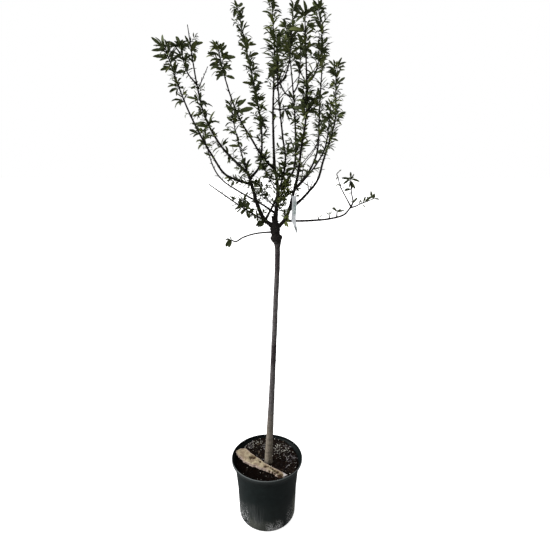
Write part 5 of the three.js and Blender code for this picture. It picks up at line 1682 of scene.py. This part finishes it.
class AddLeaves(bpy.types.Operator):
    """Grows the twigs, spurs and leaves by the same rule as the solids"""

    bl_idname = "almond.add_leaves"
    bl_label = "Twigs and leaves"

    def execute(self, context):
        look, wood = context.scene.almond_leaves, context.scene.almond_bark
        finish = bpy.data.materials["limb_bark"]
        leafy = [(shoot, TREE.lines[shoot.name]) for shoot in SHOOTS if shoot.bare == 0]
        twigs = wood_bark("twigs", leafy + TREE.forks, wood, 0.003, (8, 10), (0.004, 0.004))
        piece("twigs", twigs, [finish], "limb", *MASSES)
        foliage = Foliage(look)
        foliage.gather()
        leaves, spurs = foliage.meshes()
        piece("spurs", spurs, [finish], "limb", *MASSES)
        names = ("deep", "mid", "olive", "young")
        tones = [leaf_finish(f"leaf_{name}", getattr(look, name)) for name in names]
        piece("leaves", leaves, tones, "leaves", *MASSES)
        return {"FINISHED"}


class AddTag(bpy.types.Operator):
    """Builds the blank tag on the right limb"""

    bl_idname = "almond.add_tag"
    bl_label = "Tag"

    def execute(self, context):
        look = context.scene.almond_tag
        film = tag_film(look)
        piece("tag_film", tag_ribbon(look), [film], "label", "label")
        piece("tag_strap", tag_loop(), [film], "label", "label")
        return {"FINISHED"}


def studio(look):
    """An even pale light all round, in front of a white backdrop."""
    world = bpy.data.worlds.new("studio")
    world.use_nodes = True
    nodes = Nodes(world.node_tree)
    light = nodes.tree.nodes["Background"]
    nodes.fill(light.inputs["Color"], (1, 1, 1))
    nodes.fill(light.inputs["Strength"], look.sky)
    backdrop = nodes.node("ShaderNodeBackground", Color=(1, 1, 1))
    mix = nodes.node("ShaderNodeMixShader")
    nodes.fill(mix.inputs[0], nodes.node("ShaderNodeLightPath").outputs["Is Camera Ray"])
    nodes.fill(mix.inputs[1], light.outputs[0])
    nodes.fill(mix.inputs[2], backdrop.outputs[0])
    nodes.fill(nodes.tree.nodes["World Output"].inputs["Surface"], mix.outputs[0])
    return world


def floor_paint(look):
    """White paint that glows towards the camera and throws little light back on the plant."""
    made = Finish("floor_paint", Roughness=0.9, Specular_IOR_Level=0.0)
    seen = made.node("ShaderNodeLightPath").outputs["Is Camera Ray"]
    made.set("Emission Color", made.mix(seen, [FLOOR_FILL] * 3, [1, 1, 1]))
    made.set("Emission Strength", FLOOR_GLOW)
    return made.done(made.mix(seen, shade(look.floor, FLOOR_BOUNCE), look.floor))


class AddStage(bpy.types.Operator):
    """Sets the floor, the light and the camera"""

    bl_idname = "almond.add_stage"
    bl_label = "Stage"

    def execute(self, context):
        scene, look = context.scene, context.scene.almond_stage
        shape = bmesh.new()
        bmesh.ops.create_grid(shape, x_segments=1, y_segments=1, size=30)
        floor = loose("floor", mesh_of(shape, "floor"))
        floor.data.materials.append(floor_paint(look))
        scene.world = studio(look)
        scene.view_settings.view_transform = "Standard"
        sun = bpy.data.lights.new("soft_sun", "SUN")
        sun.energy, sun.angle = look.sun, look.softness
        loose("soft_sun", sun).rotation_euler = (-SUN_PLACE).to_track_quat("-Z", "Y").to_euler()
        lens = bpy.data.cameras.new("camera")
        lens.lens, lens.sensor_width = CAMERA_LENS, SENSOR
        scene.camera = loose("camera", lens)
        scene.camera.location = CAMERA_PLACE
        scene.camera.rotation_euler = (math.pi / 2 - CAMERA_PITCH, 0, 0)
        return {"FINISHED"}


class AlmondPanel(bpy.types.Panel):
    """Lists the pieces of the tree and their settings"""

    bl_idname = "VIEW3D_PT_almond"
    bl_label = "Potted almond tree"
    bl_space_type = "VIEW_3D"
    bl_region_type = "UI"
    bl_category = "Almond"

    def draw(self, context):
        for name, look in GROUPS.items():
            box = self.layout.box()
            for key in look.__annotations__:
                box.prop(getattr(context.scene, name), key)
        for operator in OPERATORS:
            self.layout.operator(operator.bl_idname)


OPERATORS = (AddPot, AddSoil, AddStrip, AddTrunk, AddLimbs, AddLeaves, AddTag, AddStage)


def register():
    for kind in (*GROUPS.values(), *OPERATORS, AlmondPanel):
        bpy.utils.register_class(kind)
    for name, look in GROUPS.items():
        setattr(bpy.types.Scene, name, PointerProperty(type=look))


def unregister():
    for name in GROUPS:
        delattr(bpy.types.Scene, name)
    for kind in reversed((*GROUPS.values(), *OPERATORS, AlmondPanel)):
        bpy.utils.unregister_class(kind)


def main():
    register()
    for operator in OPERATORS:
        _, name = operator.bl_idname.split(".")
        getattr(bpy.ops.almond, name)()


if __name__ == "__main__":
    main()
